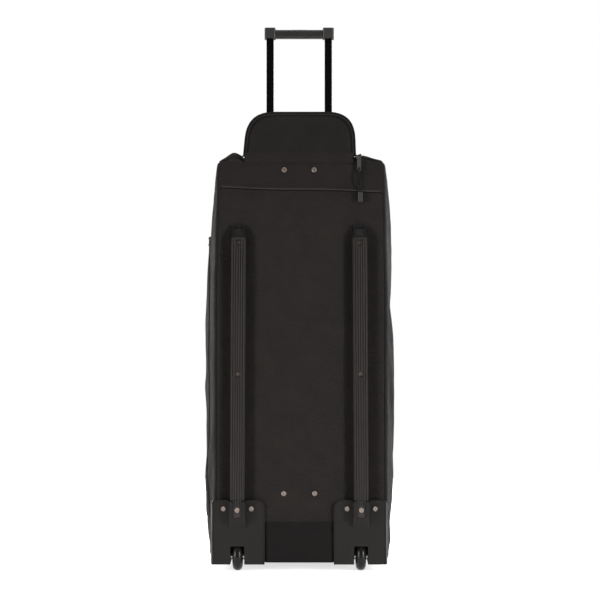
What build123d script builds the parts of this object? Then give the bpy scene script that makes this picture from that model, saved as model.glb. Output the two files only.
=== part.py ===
from build123d import *
import math
import os

# Rolling bag for three bowling balls, standing upright on two wheels and two feet.
# Millimetres. +Z up, +X to the right seen from the wheel side, +Y from the wheel side to the lid.
# The origin is on the floor, under the centre of the whole bag's box.

# ---- driving dimensions ----
BACK = -150.0            # outer face of the panel that carries the rails
FRONT = 148.0            # outer face of the lid
WALL = 6.0               # padded fabric
BODY_LOW = 17.0          # the bag's base stands this far above the floor
BODY_TOP = 773.0
SIDE_BULGE = {1: 185.0, -1: 181.0}  # half width where each side is fullest; the left has a pocket on it
BACK_HALF = 159.0        # half width at the back corners
FRONT_HALF = 166.0       # half width at the front corners
BULGE_Y = -8.0
SKIN = 4.0               # moulded plastic of the wheel housings

WHEEL_R = 27.0
WHEEL_HALF = 9.5
WHEEL_X = 116.0
AXLE_Y = -133.0
AXLE_Z = WHEEL_R
AXLE_R = 3.0
SLOT_HALF = 13.0         # half width of the slot that the wheel turns in
SLOT_TOP = 47.0
ARCH_R = 30.0            # room round the wheel
ARCH_WALL = 3.5

HOUSING_IN = 65.0
HOUSING_OUT = 166.0
HOUSING_TOP = 135.0
HOUSING_LOW = 14.6
HOUSING_EDGE = 163.0     # where its back face turns round the corner
INNER_CORNER = 14.0
OUTER_CORNER = 10.0
RIM = 1.6                # raised rim along its edges
RIM_H = 1.0
HOUSING_WRAP_Y = -132.0  # how far the housing wraps round the bag's side
HOUSING_FLOOR_Y = -84.0  # and under its base
BOSS_HALF = 17.0
BOSS_TOP_HALF = 14.5
BOSS_LOW = 84.0
BOSS_RAMP = 106.0
BOSS_FACE = -168.0
BOSS_RIVET_Z = 118.0
TONGUE_HALF = 8.0
TONGUE_FACE = -165.5
TONGUE_LOW = 104.0

RAIL_HALF = 13.8
RAIL_TOP_HALF = 11.2
GROOVES = (-8.8, -4.4, 0.0, 4.4, 8.8)
GROOVE_HALF = 1.0
GROOVE_DEPTH = 1.6
RAIL_FACE = -163.5
RAIL_END = 650.0
RAIL_TOP_X = 113.5       # the rails spread slightly towards the wheels
RAIL_LOW_X = 116.3
RAIL_RAMP = 21.0
RAIL_HOLES_Z = (617.0, 371.0)
COUNTERBORE_R = 5.2

RIVET_HEAD_R = 4.7
RIVET_HEAD = 2.0
RIVET_R = 2.2
RIVET_HOLE_R = 2.3
TUBE_X = 55.0
TUBE_Y = -125.0
OUTER_TUBE = (18.0, 16.0)
INNER_TUBE = (13.7, 12.0)
HANDLE_TOP = 1024.0
CAP = (21.0, 22.0, 20.0)
HANDLE_TRAVEL = 262.0
BEZEL_TOP = 744.0

FLAP_HALF = 106.0
FLAP_TOP_HALF = 102.0
FLAP_LOW = 774.5
FLAP_TOP = 862.0
FLAP_CORNER = 40.0
FLAP_T = 6.0
WELL_HALF = 98.0
WELL_FRONT = -72.0

LID_HALF = 145.5
LID_LOW = 45.0
LID_TOP = 745.0
POCKET_T = 11.5
TAPE_T = 1.0

BALL_R = 109.0           # bowling ball, 218 mm across
BAY_H = 228.0
BAY_LOW = 26.0
DIVIDER = 8.0
CRADLE_BACK = -114.0
CRADLE_FRONT = -94.0
CRADLE_DIP = 14.0

os.makedirs("parts", exist_ok=True)


def block(x, y, z):
    """A box between two limits on each axis."""
    size = Box(x[1] - x[0], y[1] - y[0], z[1] - z[0])
    return Pos((x[0] + x[1]) / 2, (y[0] + y[1]) / 2, (z[0] + z[1]) / 2) * size


def rod_y(x, z, y0, y1, radius):
    """A round bar along Y."""
    return Pos(x, (y0 + y1) / 2, z) * Rot(90, 0, 0) * Cylinder(radius, y1 - y0)


def rod_x(y, z, x0, x1, radius):
    """A round bar along X."""
    return Pos((x0 + x1) / 2, y, z) * Rot(0, 90, 0) * Cylinder(radius, x1 - x0)


def prism_x(points, half):
    """A solid of constant section in the YZ plane, between -half and +half on X."""
    face = make_face(Polyline(*[(-half, y, z) for y, z in points], close=True))
    return extrude(face, amount=2 * half, dir=(1, 0, 0))


def left_of(shape):
    """The mirror image on the -X side."""
    return mirror(shape, about=Plane.YZ)


def save(name, *shapes):
    """Writes one node of one or more separate solids."""
    solids = [s for shape in shapes for s in shape.solids()]
    export_step(solids[0] if len(solids) == 1 else Compound(children=solids), f"parts/{name}.step")


# ---- the bag's envelope ----
def plan_prism(inset):
    """The horizontal section, flat at back and front, with sides that bulge between."""
    back = BACK + inset
    front = FRONT - inset
    edges = []
    for s in (1, -1):
        a = (s * (BACK_HALF - inset), back)
        b = (s * (SIDE_BULGE[s] - inset), BULGE_Y)
        c = (s * (FRONT_HALF - inset), front)
        edges.append(ThreePointArc(a, b, c))
    edges.append(Line(edges[0] @ 0, edges[1] @ 0))
    edges.append(Line(edges[0] @ 1, edges[1] @ 1))
    return extrude(make_face(Curve() + edges), amount=BODY_TOP + 100)


def outline_prism(inset):
    """The outline seen from the back: drawn in at the wheels and at the top."""
    low = BODY_LOW + inset
    top = BODY_TOP - inset
    y = BACK - 50
    edges = []
    for s in (1, -1):
        half = SIDE_BULGE[s] - inset
        base = (s * (half - 23), y, low)
        above_wheel = (s * (half - 21), y, 60)
        full = (s * half, y, 170)
        shoulder = (s * half, y, 590)
        corner = (s * (half - 27), y, top)
        edges.append(Line(base, above_wheel))
        edges.append(ThreePointArc(above_wheel, (s * (half - 7.5), y, 105), full))
        edges.append(Line(full, shoulder))
        edges.append(ThreePointArc(shoulder, (s * (half - 8.5), y, 700), corner))
    edges.append(Line(edges[0] @ 0, edges[4] @ 0))
    edges.append(Line(edges[3] @ 1, edges[7] @ 1))
    return extrude(make_face(Curve() + edges), amount=500, dir=(0, 1, 0))


def envelope(inset):
    return plan_prism(inset) & outline_prism(inset)


OUTER = envelope(0)
SHELL = OUTER - envelope(WALL)
INNER_BACK = BACK + WALL
INNER_FRONT = FRONT - WALL
WIDE = (-250, 250)


# ---- fasteners ----
def rivet(x, z, head_y, tail_y, head=RIVET_HEAD):
    """A rivet along Y: domed head outside, upset tail inside."""
    dome = rod_y(x, z, head_y - head, head_y, RIVET_HEAD_R)
    dome = chamfer(dome.edges().group_by(Axis.Y)[0], 0.9)
    dimple = rod_y(x, z, head_y - head - 1, head_y - head + 0.8, 1.6)
    return dome + rod_y(x, z, head_y, tail_y, RIVET_R) + rod_y(x, z, tail_y, tail_y + 1.4, 3.6) - dimple


def rivet_holes(shape, places):
    """Clearance holes along Y through a shape."""
    for x, z in places:
        shape = shape - rod_y(x, z, -200, -100, RIVET_HOLE_R)
    return shape


BOARD_FACE = INNER_BACK + 2.5
FLANGE_FACE = BOARD_FACE + 3.0
UPPER_FRAME = [(-28.0, 754.0), (28.0, 754.0)]
LOWER_FRAME = [(-29.0, 147.0), (29.0, 147.0)]
HOUSING_SIDE = [(s * x, 119.0) for s in (1, -1) for x in (90.0, 142.0)]
BOSS_RIVETS = [(s * WHEEL_X, BOSS_RIVET_Z) for s in (1, -1)]


def rail_x(z):
    """The rail's centre line at a height."""
    share = (z - HOUSING_TOP) / (RAIL_END - HOUSING_TOP)
    return RAIL_LOW_X + (RAIL_TOP_X - RAIL_LOW_X) * share


RAIL_SCREWS = [(s * rail_x(z), z) for s in (1, -1) for z in RAIL_HOLES_Z]
ALL_RIVETS = UPPER_FRAME + LOWER_FRAME + HOUSING_SIDE + BOSS_RIVETS + RAIL_SCREWS


# ---- wheel housing, with the arch that the wheel turns in ----
def wheel_room(grow=0.0):
    """The space round the wheel, open to the back and down."""
    r = ARCH_R + grow
    half = SLOT_HALF + grow
    drum = rod_x(AXLE_Y, AXLE_Z, WHEEL_X - half, WHEEL_X + half, r)
    back = block((WHEEL_X - half, WHEEL_X + half), (BACK - 30, AXLE_Y), (-20, SLOT_TOP + grow))
    down = block((WHEEL_X - half, WHEEL_X + half), (BACK - 30, AXLE_Y + r), (-20, AXLE_Z))
    return drum + back + down


def housing_outline(inset, out, y0, y1):
    """The housing's outline from the back, with its two top corners rounded, between two Y limits."""
    left = HOUSING_IN + inset
    top = HOUSING_TOP - inset
    corners = [(left, y0, HOUSING_LOW), (out, y0, HOUSING_LOW), (out, y0, top), (left, y0, top)]
    face = make_face(Polyline(*corners, close=True))
    solid = extrude(face, amount=y1 - y0, dir=(0, 1, 0))
    inner_edge = solid.edges().filter_by(Axis.Y).group_by(Axis.Z)[-1].sort_by(Axis.X)[0]
    solid = fillet(inner_edge, INNER_CORNER - inset)
    outer_edge = solid.edges().filter_by(Axis.Y).group_by(Axis.X)[-1].sort_by(Axis.Z)[-1]
    return fillet(outer_edge, OUTER_CORNER - inset)


def housing_rim():
    """A low ridge along the housing's sides and top."""
    face = BACK - SKIN
    outer = housing_outline(0, HOUSING_EDGE, face - RIM_H, face)
    inner = housing_outline(RIM, HOUSING_EDGE - RIM, face - 2, face + 1)
    return outer - inner - block((HOUSING_IN + RIM, HOUSING_EDGE - RIM), (face - 2, face + 1), (0, 60))


def housing_boss():
    """The tapered shoe at the rail's foot, with drafted sides and a ramp."""
    shoe = prism_x([(BACK - SKIN, BOSS_LOW), (BACK - SKIN, HOUSING_TOP - 1),
                    (BOSS_FACE, HOUSING_TOP - 1), (BOSS_FACE, BOSS_RAMP)], BOSS_HALF)
    section = make_face(Polyline((-BOSS_HALF, BACK - SKIN, 0), (BOSS_HALF, BACK - SKIN, 0),
                                 (BOSS_TOP_HALF, BOSS_FACE, 0), (-BOSS_TOP_HALF, BOSS_FACE, 0), close=True))
    return Pos(WHEEL_X, 0, 0) * (shoe & extrude(section, amount=200))


def grooves(face, low, top):
    """Grooves along a drafted face, centred on x = 0."""
    depth = (face - 1, face + GROOVE_DEPTH)
    return Compound([block((x - GROOVE_HALF, x + GROOVE_HALF), depth, (low, top)) for x in GROOVES])


def tongue():
    """The rail's foot, which lies in the shoe's open channel."""
    body = block((-TONGUE_HALF, TONGUE_HALF), (TONGUE_FACE, BACK - SKIN), (TONGUE_LOW, HOUSING_TOP))
    return Pos(WHEEL_X, 0, 0) * (body - grooves(TONGUE_FACE, BOSS_RIVET_Z + 7, HOUSING_TOP + 1))


def housing():
    skin = (envelope(-SKIN) - OUTER) & housing_outline(0, HOUSING_OUT, -200, 0)
    under = block((HOUSING_IN, HOUSING_OUT + 9), (BACK - SKIN, HOUSING_FLOOR_Y), (0, BODY_LOW))
    wrap = block((HOUSING_IN, HOUSING_OUT + 9), (BACK - SKIN, HOUSING_WRAP_Y), (0, HOUSING_TOP))
    skin = skin & (under + wrap)
    arch = wheel_room(ARCH_WALL) & block((0, 200), (BACK - SKIN, -50), (HOUSING_LOW, 100))
    body = skin + arch - wheel_room() + housing_boss() + housing_rim()
    body = body - block((WHEEL_X - TONGUE_HALF - 0.3, WHEEL_X + TONGUE_HALF + 0.3), (-200, BACK - SKIN),
                        (TONGUE_LOW - 0.3, HOUSING_TOP + 5))
    body = body - rod_x(AXLE_Y, AXLE_Z, WHEEL_X - 30, WHEEL_X + 30, AXLE_R)
    return rivet_holes(body, [place for place in HOUSING_SIDE + BOSS_RIVETS if place[0] > 0])


RIGHT_HOUSING = housing()
save("wheel_housing_right", RIGHT_HOUSING)
save("wheel_housing_left", left_of(RIGHT_HOUSING))

ARCH_CUT = wheel_room(ARCH_WALL + 2.2)
ARCH_CUTS = ARCH_CUT + left_of(ARCH_CUT)

# ---- sewn panels ----
back_panel = SHELL & block(WIDE, (BACK, INNER_BACK), (0, 800))
save("back_panel", rivet_holes(back_panel, ALL_RIVETS) - ARCH_CUTS)

base_panel = SHELL & block(WIDE, (INNER_BACK, INNER_FRONT), (BODY_LOW, BODY_LOW + WALL))
save("base_panel", base_panel - ARCH_CUTS)

well_cut = block((-WELL_HALF + 2, WELL_HALF - 2), (INNER_BACK - 1, WELL_FRONT), (700, 800))
top_panel = SHELL & block(WIDE, (INNER_BACK, INNER_FRONT), (BODY_TOP - WALL, BODY_TOP))
save("top_panel", top_panel - well_cut)

side_panels = SHELL & block(WIDE, (INNER_BACK, INNER_FRONT), (BODY_LOW + WALL, BODY_TOP - WALL))
save("side_panel_right", side_panels & block((0, 250), (-200, 200), (0, 800)))
save("side_panel_left", side_panels & block((-250, 0), (-200, 200), (0, 800)))

lid_gap = 0.5
rim_opening = block((-LID_HALF - lid_gap, LID_HALF + lid_gap), (100, 200), (LID_LOW - 1, LID_TOP + 1))
save("front_rim", (OUTER & block(WIDE, (INNER_FRONT, FRONT), (0, 800))) - rim_opening)

# Smooth reinforcing bands over the ends of the ribbed panel.
BAND_T = 1.0
band_outline = outline_prism(0) & block((-BACK_HALF + 1, BACK_HALF - 1), (-200, 0), (0, 800))
top_band = band_outline & block(WIDE, (BACK - BAND_T, BACK), (722, BODY_TOP))
save("top_band", rivet_holes(top_band, UPPER_FRAME))
save("base_band", block((-HOUSING_IN + 0.3, HOUSING_IN - 0.3), (BACK - BAND_T, BACK), (BODY_LOW, 94)))

# A flat patch pocket on the left side, and a webbing grab handle on the top.
patch = (envelope(-4) - OUTER) & block((-250, -100), (-95, 95), (90, 632))
save("side_pocket", patch)


def grab_handle():
    """A webbing strap that stands in a low arch above the top panel."""
    y0 = 17.5
    z = BODY_TOP
    arch = make_face(Curve() + [
        ThreePointArc((-64, y0, z), (0, y0, z + 25), (64, y0, z)), Line((64, y0, z), (60, y0, z)),
        ThreePointArc((60, y0, z), (0, y0, z + 22), (-60, y0, z)), Line((-60, y0, z), (-64, y0, z))])
    strap = extrude(arch, amount=25, dir=(0, 1, 0))
    for s in (1, -1):
        tab = block((min(s * 61, s * 92), max(s * 61, s * 92)), (y0, y0 + 25), (z, z + 2))
        strap = strap + tab
    return strap


save("top_grab_handle", grab_handle())

# ---- stiffening board and trolley frame inside the back ----
board = block((-150, 150), (INNER_BACK, BOARD_FACE), (68, 760)) & outline_prism(WALL + 0.5)
save("base_board", rivet_holes(board, ALL_RIVETS))


def tube(x, outer, wall, z0, z1):
    """A rectangular tube along Z."""
    solid = block((x - outer[0] / 2, x + outer[0] / 2),
                  (TUBE_Y - outer[1] / 2, TUBE_Y + outer[1] / 2), (z0, z1))
    inner = (outer[0] - 2 * wall, outer[1] - 2 * wall)
    hole = block((x - inner[0] / 2, x + inner[0] / 2), (TUBE_Y - inner[1] / 2, TUBE_Y + inner[1] / 2),
                 (z0 - 1, z1 + 1))
    return solid - hole


def tube_pocket(x, size, z0, z1):
    return block((x - size[0] / 2, x + size[0] / 2), (TUBE_Y - size[1] / 2, TUBE_Y + size[1] / 2), (z0, z1))


OUTER_LOW = 138.0
OUTER_TOP = 730.0
for name, s in (("right", 1), ("left", -1)):
    save(f"outer_tube_{name}", tube(s * TUBE_X, OUTER_TUBE, 1.2, OUTER_LOW, OUTER_TOP))

bezel = block((-72, 72), (FLANGE_FACE, -111), (712, BEZEL_TOP))
bezel = fillet(bezel.edges().filter_by(Axis.Z).group_by(Axis.Y)[-1], 6)
bezel = bezel + block((-45, 45), (BOARD_FACE, FLANGE_FACE), (712, 766))
well_floor = block((-WELL_HALF, WELL_HALF), (BOARD_FACE, WELL_FRONT + 2), (736, 738)) - bezel
for s in (1, -1):
    bezel = bezel - tube_pocket(s * TUBE_X, OUTER_TUBE, 700, OUTER_TOP)
    bezel = bezel - tube_pocket(s * TUBE_X, (INNER_TUBE[0] + 0.8, INNER_TUBE[1] + 0.8), 700, 800)
save("trolley_bezel", rivet_holes(bezel, UPPER_FRAME))

bracket = block((-72, 72), (BOARD_FACE, CRADLE_BACK - 2.5), (128, 164))
for s in (1, -1):
    bracket = bracket - tube_pocket(s * TUBE_X, OUTER_TUBE, OUTER_LOW, 200)
bracket_room = block((-40, 40), (FLANGE_FACE, 0), (100, 200))
save("trolley_bracket", rivet_holes(bracket - bracket_room, LOWER_FRAME))

# The tray that the grip sinks into, under the flap.
tray = well_floor
for s in (1, -1):
    wall_x = (min(s * WELL_HALF, s * (WELL_HALF - 2)), max(s * WELL_HALF, s * (WELL_HALF - 2)))
    tray = tray + block(wall_x, (BOARD_FACE, WELL_FRONT + 2), (738, BODY_TOP - WALL))
tray = tray + block((-WELL_HALF, WELL_HALF), (WELL_FRONT, WELL_FRONT + 2), (738, BODY_TOP - WALL))
save("handle_well_tray", tray)

# ---- ball bays ----
save("lining_panel", block((-140, 140), (CRADLE_BACK - 2, CRADLE_BACK), (68, 711)))


def bay_low(n):
    return BAY_LOW + n * (BAY_H + DIVIDER)


dividers = []
for n in range(2):
    top = bay_low(n) + BAY_H
    dividers.append(block((-148, 148), (CRADLE_BACK, 124), (top, top + DIVIDER)))
save("bay_dividers", *dividers)

cradles = []
for n in range(3):
    mid = bay_low(n) + BAY_H / 2
    pad = block((-88, 88), (CRADLE_BACK, CRADLE_FRONT), (mid - 88, mid + 88))
    pad = fillet(pad.edges().filter_by(Axis.Y), 30)
    ball = Pos(0, CRADLE_FRONT - CRADLE_DIP + BALL_R + 1, mid) * Sphere(BALL_R + 1)
    cradles.append(pad - ball)
save("ball_cradles", *cradles)

# ---- skid rails ----
def rail():
    """A drafted skid rail with grooves along its face, a ramped end and two counterbored holes."""
    profile = prism_x([(BACK, HOUSING_TOP), (RAIL_FACE, HOUSING_TOP), (RAIL_FACE, RAIL_END - RAIL_RAMP),
                       (BACK - 4, RAIL_END), (BACK, RAIL_END)], 30)
    section = make_face(Polyline((-RAIL_HALF, BACK, 0), (RAIL_HALF, BACK, 0),
                                 (RAIL_TOP_HALF, RAIL_FACE, 0), (-RAIL_TOP_HALF, RAIL_FACE, 0), close=True))
    body = profile & extrude(section, amount=800)
    ramp_pocket = prism_x([(RAIL_FACE - 1, RAIL_END - RAIL_RAMP + 3), (RAIL_FACE + 2, RAIL_END - RAIL_RAMP),
                           (BACK - 2.5, RAIL_END - 5), (BACK - 6, RAIL_END + 1)], RAIL_TOP_HALF - 3)
    body = body - grooves(RAIL_FACE, HOUSING_TOP, RAIL_END - RAIL_RAMP - 4) - ramp_pocket
    lean = Pos(RAIL_LOW_X, 0, HOUSING_TOP) * Rot(0, -0.31, 0) * Pos(0, 0, -HOUSING_TOP)
    body = (lean * body) - block(WIDE, (-200, 0), (0, HOUSING_TOP))
    body = body + tongue()
    for z in RAIL_HOLES_Z:
        body = body - rod_y(rail_x(z), z, RAIL_FACE - 5, BACK - 6, COUNTERBORE_R)
        body = body - rod_y(rail_x(z), z, BACK - 7, BACK + 5, RIVET_HOLE_R)
    return rivet_holes(body, BOSS_RIVETS[:1])


RIGHT_RAIL = rail()
save("skid_rail_right", RIGHT_RAIL)
save("skid_rail_left", left_of(RIGHT_RAIL))

# ---- rivets and screws ----
save("frame_rivets", *[rivet(x, z, BACK - BAND_T, FLANGE_FACE) for x, z in UPPER_FRAME],
     *[rivet(x, z, BACK, FLANGE_FACE) for x, z in LOWER_FRAME])
save("skid_rivets", *[rivet(x, z, BACK - SKIN, BOARD_FACE) for x, z in HOUSING_SIDE],
     *[rivet(x, z, TONGUE_FACE, BOARD_FACE) for x, z in BOSS_RIVETS],
     *[rivet(x, z, BACK - 6, BOARD_FACE) for x, z in RAIL_SCREWS])


# ---- wheels ----
def turned(profile, x):
    """A body of revolution about the axle, from (radius, offset along X) points."""
    face = make_face(Polyline(*[(x + u, AXLE_Y, AXLE_Z + r) for r, u in profile], close=True))
    return revolve(face, axis=Axis((x, AXLE_Y, AXLE_Z), (1, 0, 0)))


TYRE_BORE = 15.0
HUB_BORE = 4.5
BEARING_R = 8.0
BEARING_W = 5.0


def tyre(x):
    """A tyre with a nearly semicircular crown."""
    centre = AXLE_Z + WHEEL_R - WHEEL_HALF
    a = (x - WHEEL_HALF, AXLE_Y, centre)
    b = (x + WHEEL_HALF, AXLE_Y, centre)
    crown = ThreePointArc(a, (x, AXLE_Y, AXLE_Z + WHEEL_R), b)
    c = (x + WHEEL_HALF, AXLE_Y, AXLE_Z + TYRE_BORE)
    d = (x - WHEEL_HALF, AXLE_Y, AXLE_Z + TYRE_BORE)
    face = make_face(Curve() + [crown, Line(b, c), Line(c, d), Line(d, a)])
    return revolve(face, axis=Axis((x, AXLE_Y, AXLE_Z), (1, 0, 0)))


def hub(x):
    """A hub with a thin web and a bearing seat at each end."""
    half = WHEEL_HALF - 0.5
    seat = half - BEARING_W
    return turned([(HUB_BORE, -seat), (BEARING_R, -seat), (BEARING_R, -half), (10.5, -half),
                   (11, -5), (13, -5), (13, -half), (TYRE_BORE, -half), (TYRE_BORE, half),
                   (13, half), (13, 5), (11, 5), (10.5, half), (BEARING_R, half),
                   (BEARING_R, seat), (HUB_BORE, seat)], x)


def bearing(x):
    """One ball bearing as a plain ring that runs on the axle."""
    w = BEARING_W / 2
    return turned([(AXLE_R + 0.05, -w), (BEARING_R, -w), (BEARING_R, w), (AXLE_R + 0.05, w)], x)


def spacer(x):
    return turned([(AXLE_R, -1.4), (4.6, -1.4), (4.6, 1.4), (AXLE_R, 1.4)], x)


SEAT_X = WHEEL_HALF - 0.5 - BEARING_W / 2
SPACER_X = SLOT_HALF - 1.4
PIN_END = SLOT_HALF + ARCH_WALL
axles = []
spacers = []
for name, x in (("right", WHEEL_X), ("left", -WHEEL_X)):
    save(f"wheel_tyre_{name}", tyre(x))
    save(f"wheel_hub_{name}", hub(x))
    save(f"wheel_bearings_{name}", bearing(x - SEAT_X), bearing(x + SEAT_X))
    pin = rod_x(AXLE_Y, AXLE_Z, x - PIN_END, x + PIN_END, AXLE_R)
    for end in (x - PIN_END - 0.8, x + PIN_END + 0.8):
        pin = pin + rod_x(AXLE_Y, AXLE_Z, end - 0.8, end + 0.8, 4.4)
    axles.append(pin)
    spacers += [spacer(x - SPACER_X), spacer(x + SPACER_X)]
save("axles", *axles)
save("wheel_spacers", *spacers)

# ---- feet ----
foot = block((88, 132), (100, 122), (0, BODY_LOW))
foot = fillet(foot.edges().filter_by(Axis.Z), 8)
foot = chamfer(foot.edges().group_by(Axis.Z)[0], 2)
save("front_feet", foot, left_of(foot))

# ---- pull handle ----
CAP_LOW = HANDLE_TOP - CAP[2]
INNER_LOW = 620.0
INNER_TOP = HANDLE_TOP - 8
LINK_Z = HANDLE_TOP - 12
LINK_SLOT = (LINK_Z - 5.6, LINK_Z + 3.5)


def corner_cap(s):
    """The block that joins a tube to the grip, hollow for the release link."""
    x = s * TUBE_X
    outer = block((x - CAP[0] / 2, x + CAP[0] / 2),
                  (TUBE_Y - CAP[1] / 2, TUBE_Y + CAP[1] / 2), (CAP_LOW, HANDLE_TOP))
    outer = fillet(outer.edges().filter_by(Axis.Z), 3)
    outer = chamfer(outer.edges().group_by(Axis.Z)[-1], 1.2)
    outer = outer - tube_pocket(x, INNER_TUBE, CAP_LOW - 1, INNER_TOP)
    inside = sorted((x, x - s * CAP[0]))
    return outer - block(inside, (TUBE_Y - 4, TUBE_Y + 4), LINK_SLOT)


GRIP_HALF = TUBE_X - CAP[0] / 2
GRIP_TOP = HANDLE_TOP - 3.5
BUTTON_HALF = 14.0
save("corner_cap_right", corner_cap(1))
save("corner_cap_left", corner_cap(-1))

grip = block((-GRIP_HALF, GRIP_HALF), (TUBE_Y - 9, TUBE_Y + 9), (CAP_LOW + 0.8, GRIP_TOP))
grip = fillet(grip.edges().filter_by(Axis.X), 4.5)
grip = grip - block((-GRIP_HALF - 1, GRIP_HALF + 1), (TUBE_Y - 4, TUBE_Y + 4), LINK_SLOT)
grip = grip - block((-BUTTON_HALF - 0.4, BUTTON_HALF + 0.4), (TUBE_Y - 5.4, TUBE_Y + 5.4),
                    (LINK_Z - 4, HANDLE_TOP + 5))
save("grip_bar", grip)

for name, s in (("right", 1), ("left", -1)):
    inner = tube(s * TUBE_X, INNER_TUBE, 1.0, INNER_LOW, INNER_TOP)
    window = sorted((s * TUBE_X, s * (TUBE_X - 20)))
    inner = inner - block(window, (TUBE_Y - 4, TUBE_Y + 4), LINK_SLOT)
    save(f"inner_tube_{name}", inner)


def glide(s):
    """The plug at a tube's foot that runs inside the outer tube."""
    wide = tube_pocket(s * TUBE_X, (OUTER_TUBE[0] - 2.6, OUTER_TUBE[1] - 2.6), INNER_LOW - 12, INNER_LOW)
    plug = tube_pocket(s * TUBE_X, (INNER_TUBE[0] - 2, INNER_TUBE[1] - 2), INNER_LOW, INNER_LOW + 14)
    return wide + plug


save("tube_glides", glide(1), glide(-1))

# The button presses a bar inside the grip, which presses a rod down each tube.
button = block((-BUTTON_HALF, BUTTON_HALF), (TUBE_Y - 5, TUBE_Y + 5), (LINK_Z + 2.3, GRIP_TOP + 0.4))
button = fillet(button.edges().group_by(Axis.Z)[-1], 1.2)
save("release_button", button)
bar = block((-TUBE_X - 3, TUBE_X + 3), (TUBE_Y - 2.5, TUBE_Y + 2.5), (LINK_Z - 2, LINK_Z + 2.3))
for s in (1, -1):
    bar = bar + Pos(s * TUBE_X, TUBE_Y, (LINK_Z - 1.9 + INNER_LOW + 22) / 2) * Cylinder(
        1.8, LINK_Z - 1.9 - INNER_LOW - 22)
save("release_linkage", bar)


# ---- zips ----
def zip_slider(half_x, half_z):
    """A slider facing +Y at the origin, and the pin that its pull hangs on."""
    body = block((-half_x, half_x), (0, 4), (-half_z, half_z))
    body = fillet(body.edges().filter_by(Axis.Y), 2.5)
    for s in (1, -1):
        body = body + block(sorted((s * 4.5, s * 5.8)), (3.5, 8), (-2, 2))
    return body + rod_x(6, 0, -5, 5, 0.8)


def hook_pull(length):
    """A flat pull whose rolled top end turns on the slider's pin."""
    plate = block((-4.2, 4.2), (5.2, 6.8), (-length, 0))
    plate = fillet(plate.edges().filter_by(Axis.Y).group_by(Axis.Z)[0], 1.8)
    roll = rod_x(6, 0, -4.2, 4.2, 1.6)
    return plate + roll - rod_x(6, 0, -6, 6, 0.9)


def u_strip(half, low, top, width, y0, y1, end):
    """A strip round the top, right and bottom of the lid opening. It ends near the hinge, at x = end."""
    outer = block((end, half), (y0, y1), (low, top))
    inner = block((end - 1, half - width), (y0 - 1, y1 + 1), (low + width, top - width))
    return outer - inner


# Lid zip: one tape sewn to the lid, one to the rim, with the two rows of teeth side by side.
HINGE_END = -138.0
TOOTH = 3.0
lid_tape = u_strip(LID_HALF, LID_LOW, LID_TOP, 12, FRONT, FRONT + TAPE_T, HINGE_END)
lid_tape = lid_tape + u_strip(LID_HALF, LID_LOW, LID_TOP, TOOTH, FRONT + TAPE_T, FRONT + 2.2, HINGE_END)
save("lid_zip_tape", lid_tape)
rim_x = LID_HALF + lid_gap
rim_tape = u_strip(rim_x + 11, LID_LOW - 12, LID_TOP + 12, 11, FRONT, FRONT + TAPE_T, HINGE_END)
rim_tape = rim_tape + u_strip(rim_x + TOOTH, LID_LOW - 4, LID_TOP + 4, TOOTH,
                              FRONT + TAPE_T, FRONT + 2.2, HINGE_END)
save("rim_zip_tape", rim_tape)

save("lid_panel", block((-LID_HALF, LID_HALF), (INNER_FRONT, FRONT), (LID_LOW, LID_TOP)))
POCKET_FACE = FRONT + POCKET_T
pocket = block((-112, 112), (FRONT, POCKET_FACE), (400, 706))
pocket = fillet(pocket.edges().filter_by(Axis.Y), 22)
save("lid_pocket", pocket)
POCKET_ZIP_Z = 672.0
pocket_tape = block((-96, 96), (POCKET_FACE, POCKET_FACE + TAPE_T), (POCKET_ZIP_Z - 12, POCKET_ZIP_Z + 12))
pocket_tape = pocket_tape + block((-94, 94), (POCKET_FACE + TAPE_T, POCKET_FACE + 2.2),
                                  (POCKET_ZIP_Z - TOOTH, POCKET_ZIP_Z + TOOTH))
save("pocket_zip_tape", pocket_tape)

SLIDER_GAP = 0.3
SLIDER_X = 145.7
UPPER_Z = 452.0
LOWER_Z = 400.0
SLIDER_Y = FRONT + 2.2 + SLIDER_GAP
for name, z in (("upper", UPPER_Z), ("lower", LOWER_Z)):
    save(f"lid_slider_{name}", Pos(SLIDER_X, SLIDER_Y, z) * zip_slider(6, 8))
    save(f"lid_pull_{name}", Pos(SLIDER_X, SLIDER_Y, z) * hook_pull(34))
POCKET_SLIDER_X = 84.0
pocket_place = Pos(POCKET_SLIDER_X, POCKET_FACE + 2.2 + SLIDER_GAP, POCKET_ZIP_Z)
save("pocket_slider", pocket_place * zip_slider(8, 6))
save("pocket_pull", pocket_place * hook_pull(34))


# ---- handle flap, standing open behind the pull handle ----
def flap_shape(border, y0, y1):
    """The flap's outline: straight foot, sides leaning in, large round top corners."""
    low = FLAP_LOW + (0 if border == 0 else border * 0.6)
    face = make_face(Polyline((-FLAP_HALF + border, y0, low), (FLAP_HALF - border, y0, low),
                              (FLAP_TOP_HALF - border, y0, FLAP_TOP - border),
                              (-FLAP_TOP_HALF + border, y0, FLAP_TOP - border), close=True))
    solid = extrude(face, amount=y1 - y0, dir=(0, 1, 0))
    corners = solid.edges().filter_by(Axis.Y).group_by(Axis.Z)[-1]
    return fillet(corners, FLAP_CORNER - border)


FLAP_FACE = BACK + 1.0
FLAP_BORDER = 9.0
flap_panel = flap_shape(FLAP_BORDER, FLAP_FACE, FLAP_FACE + FLAP_T)
save("flap_panel", flap_panel)
flap_tape = flap_shape(0, FLAP_FACE + 1.5, FLAP_FACE + 4.5) - flap_shape(FLAP_BORDER, -200, 0)
save("flap_zip_tape", flap_tape - block(WIDE, (-200, 0), (0, FLAP_LOW + FLAP_BORDER * 0.6)))

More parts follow.
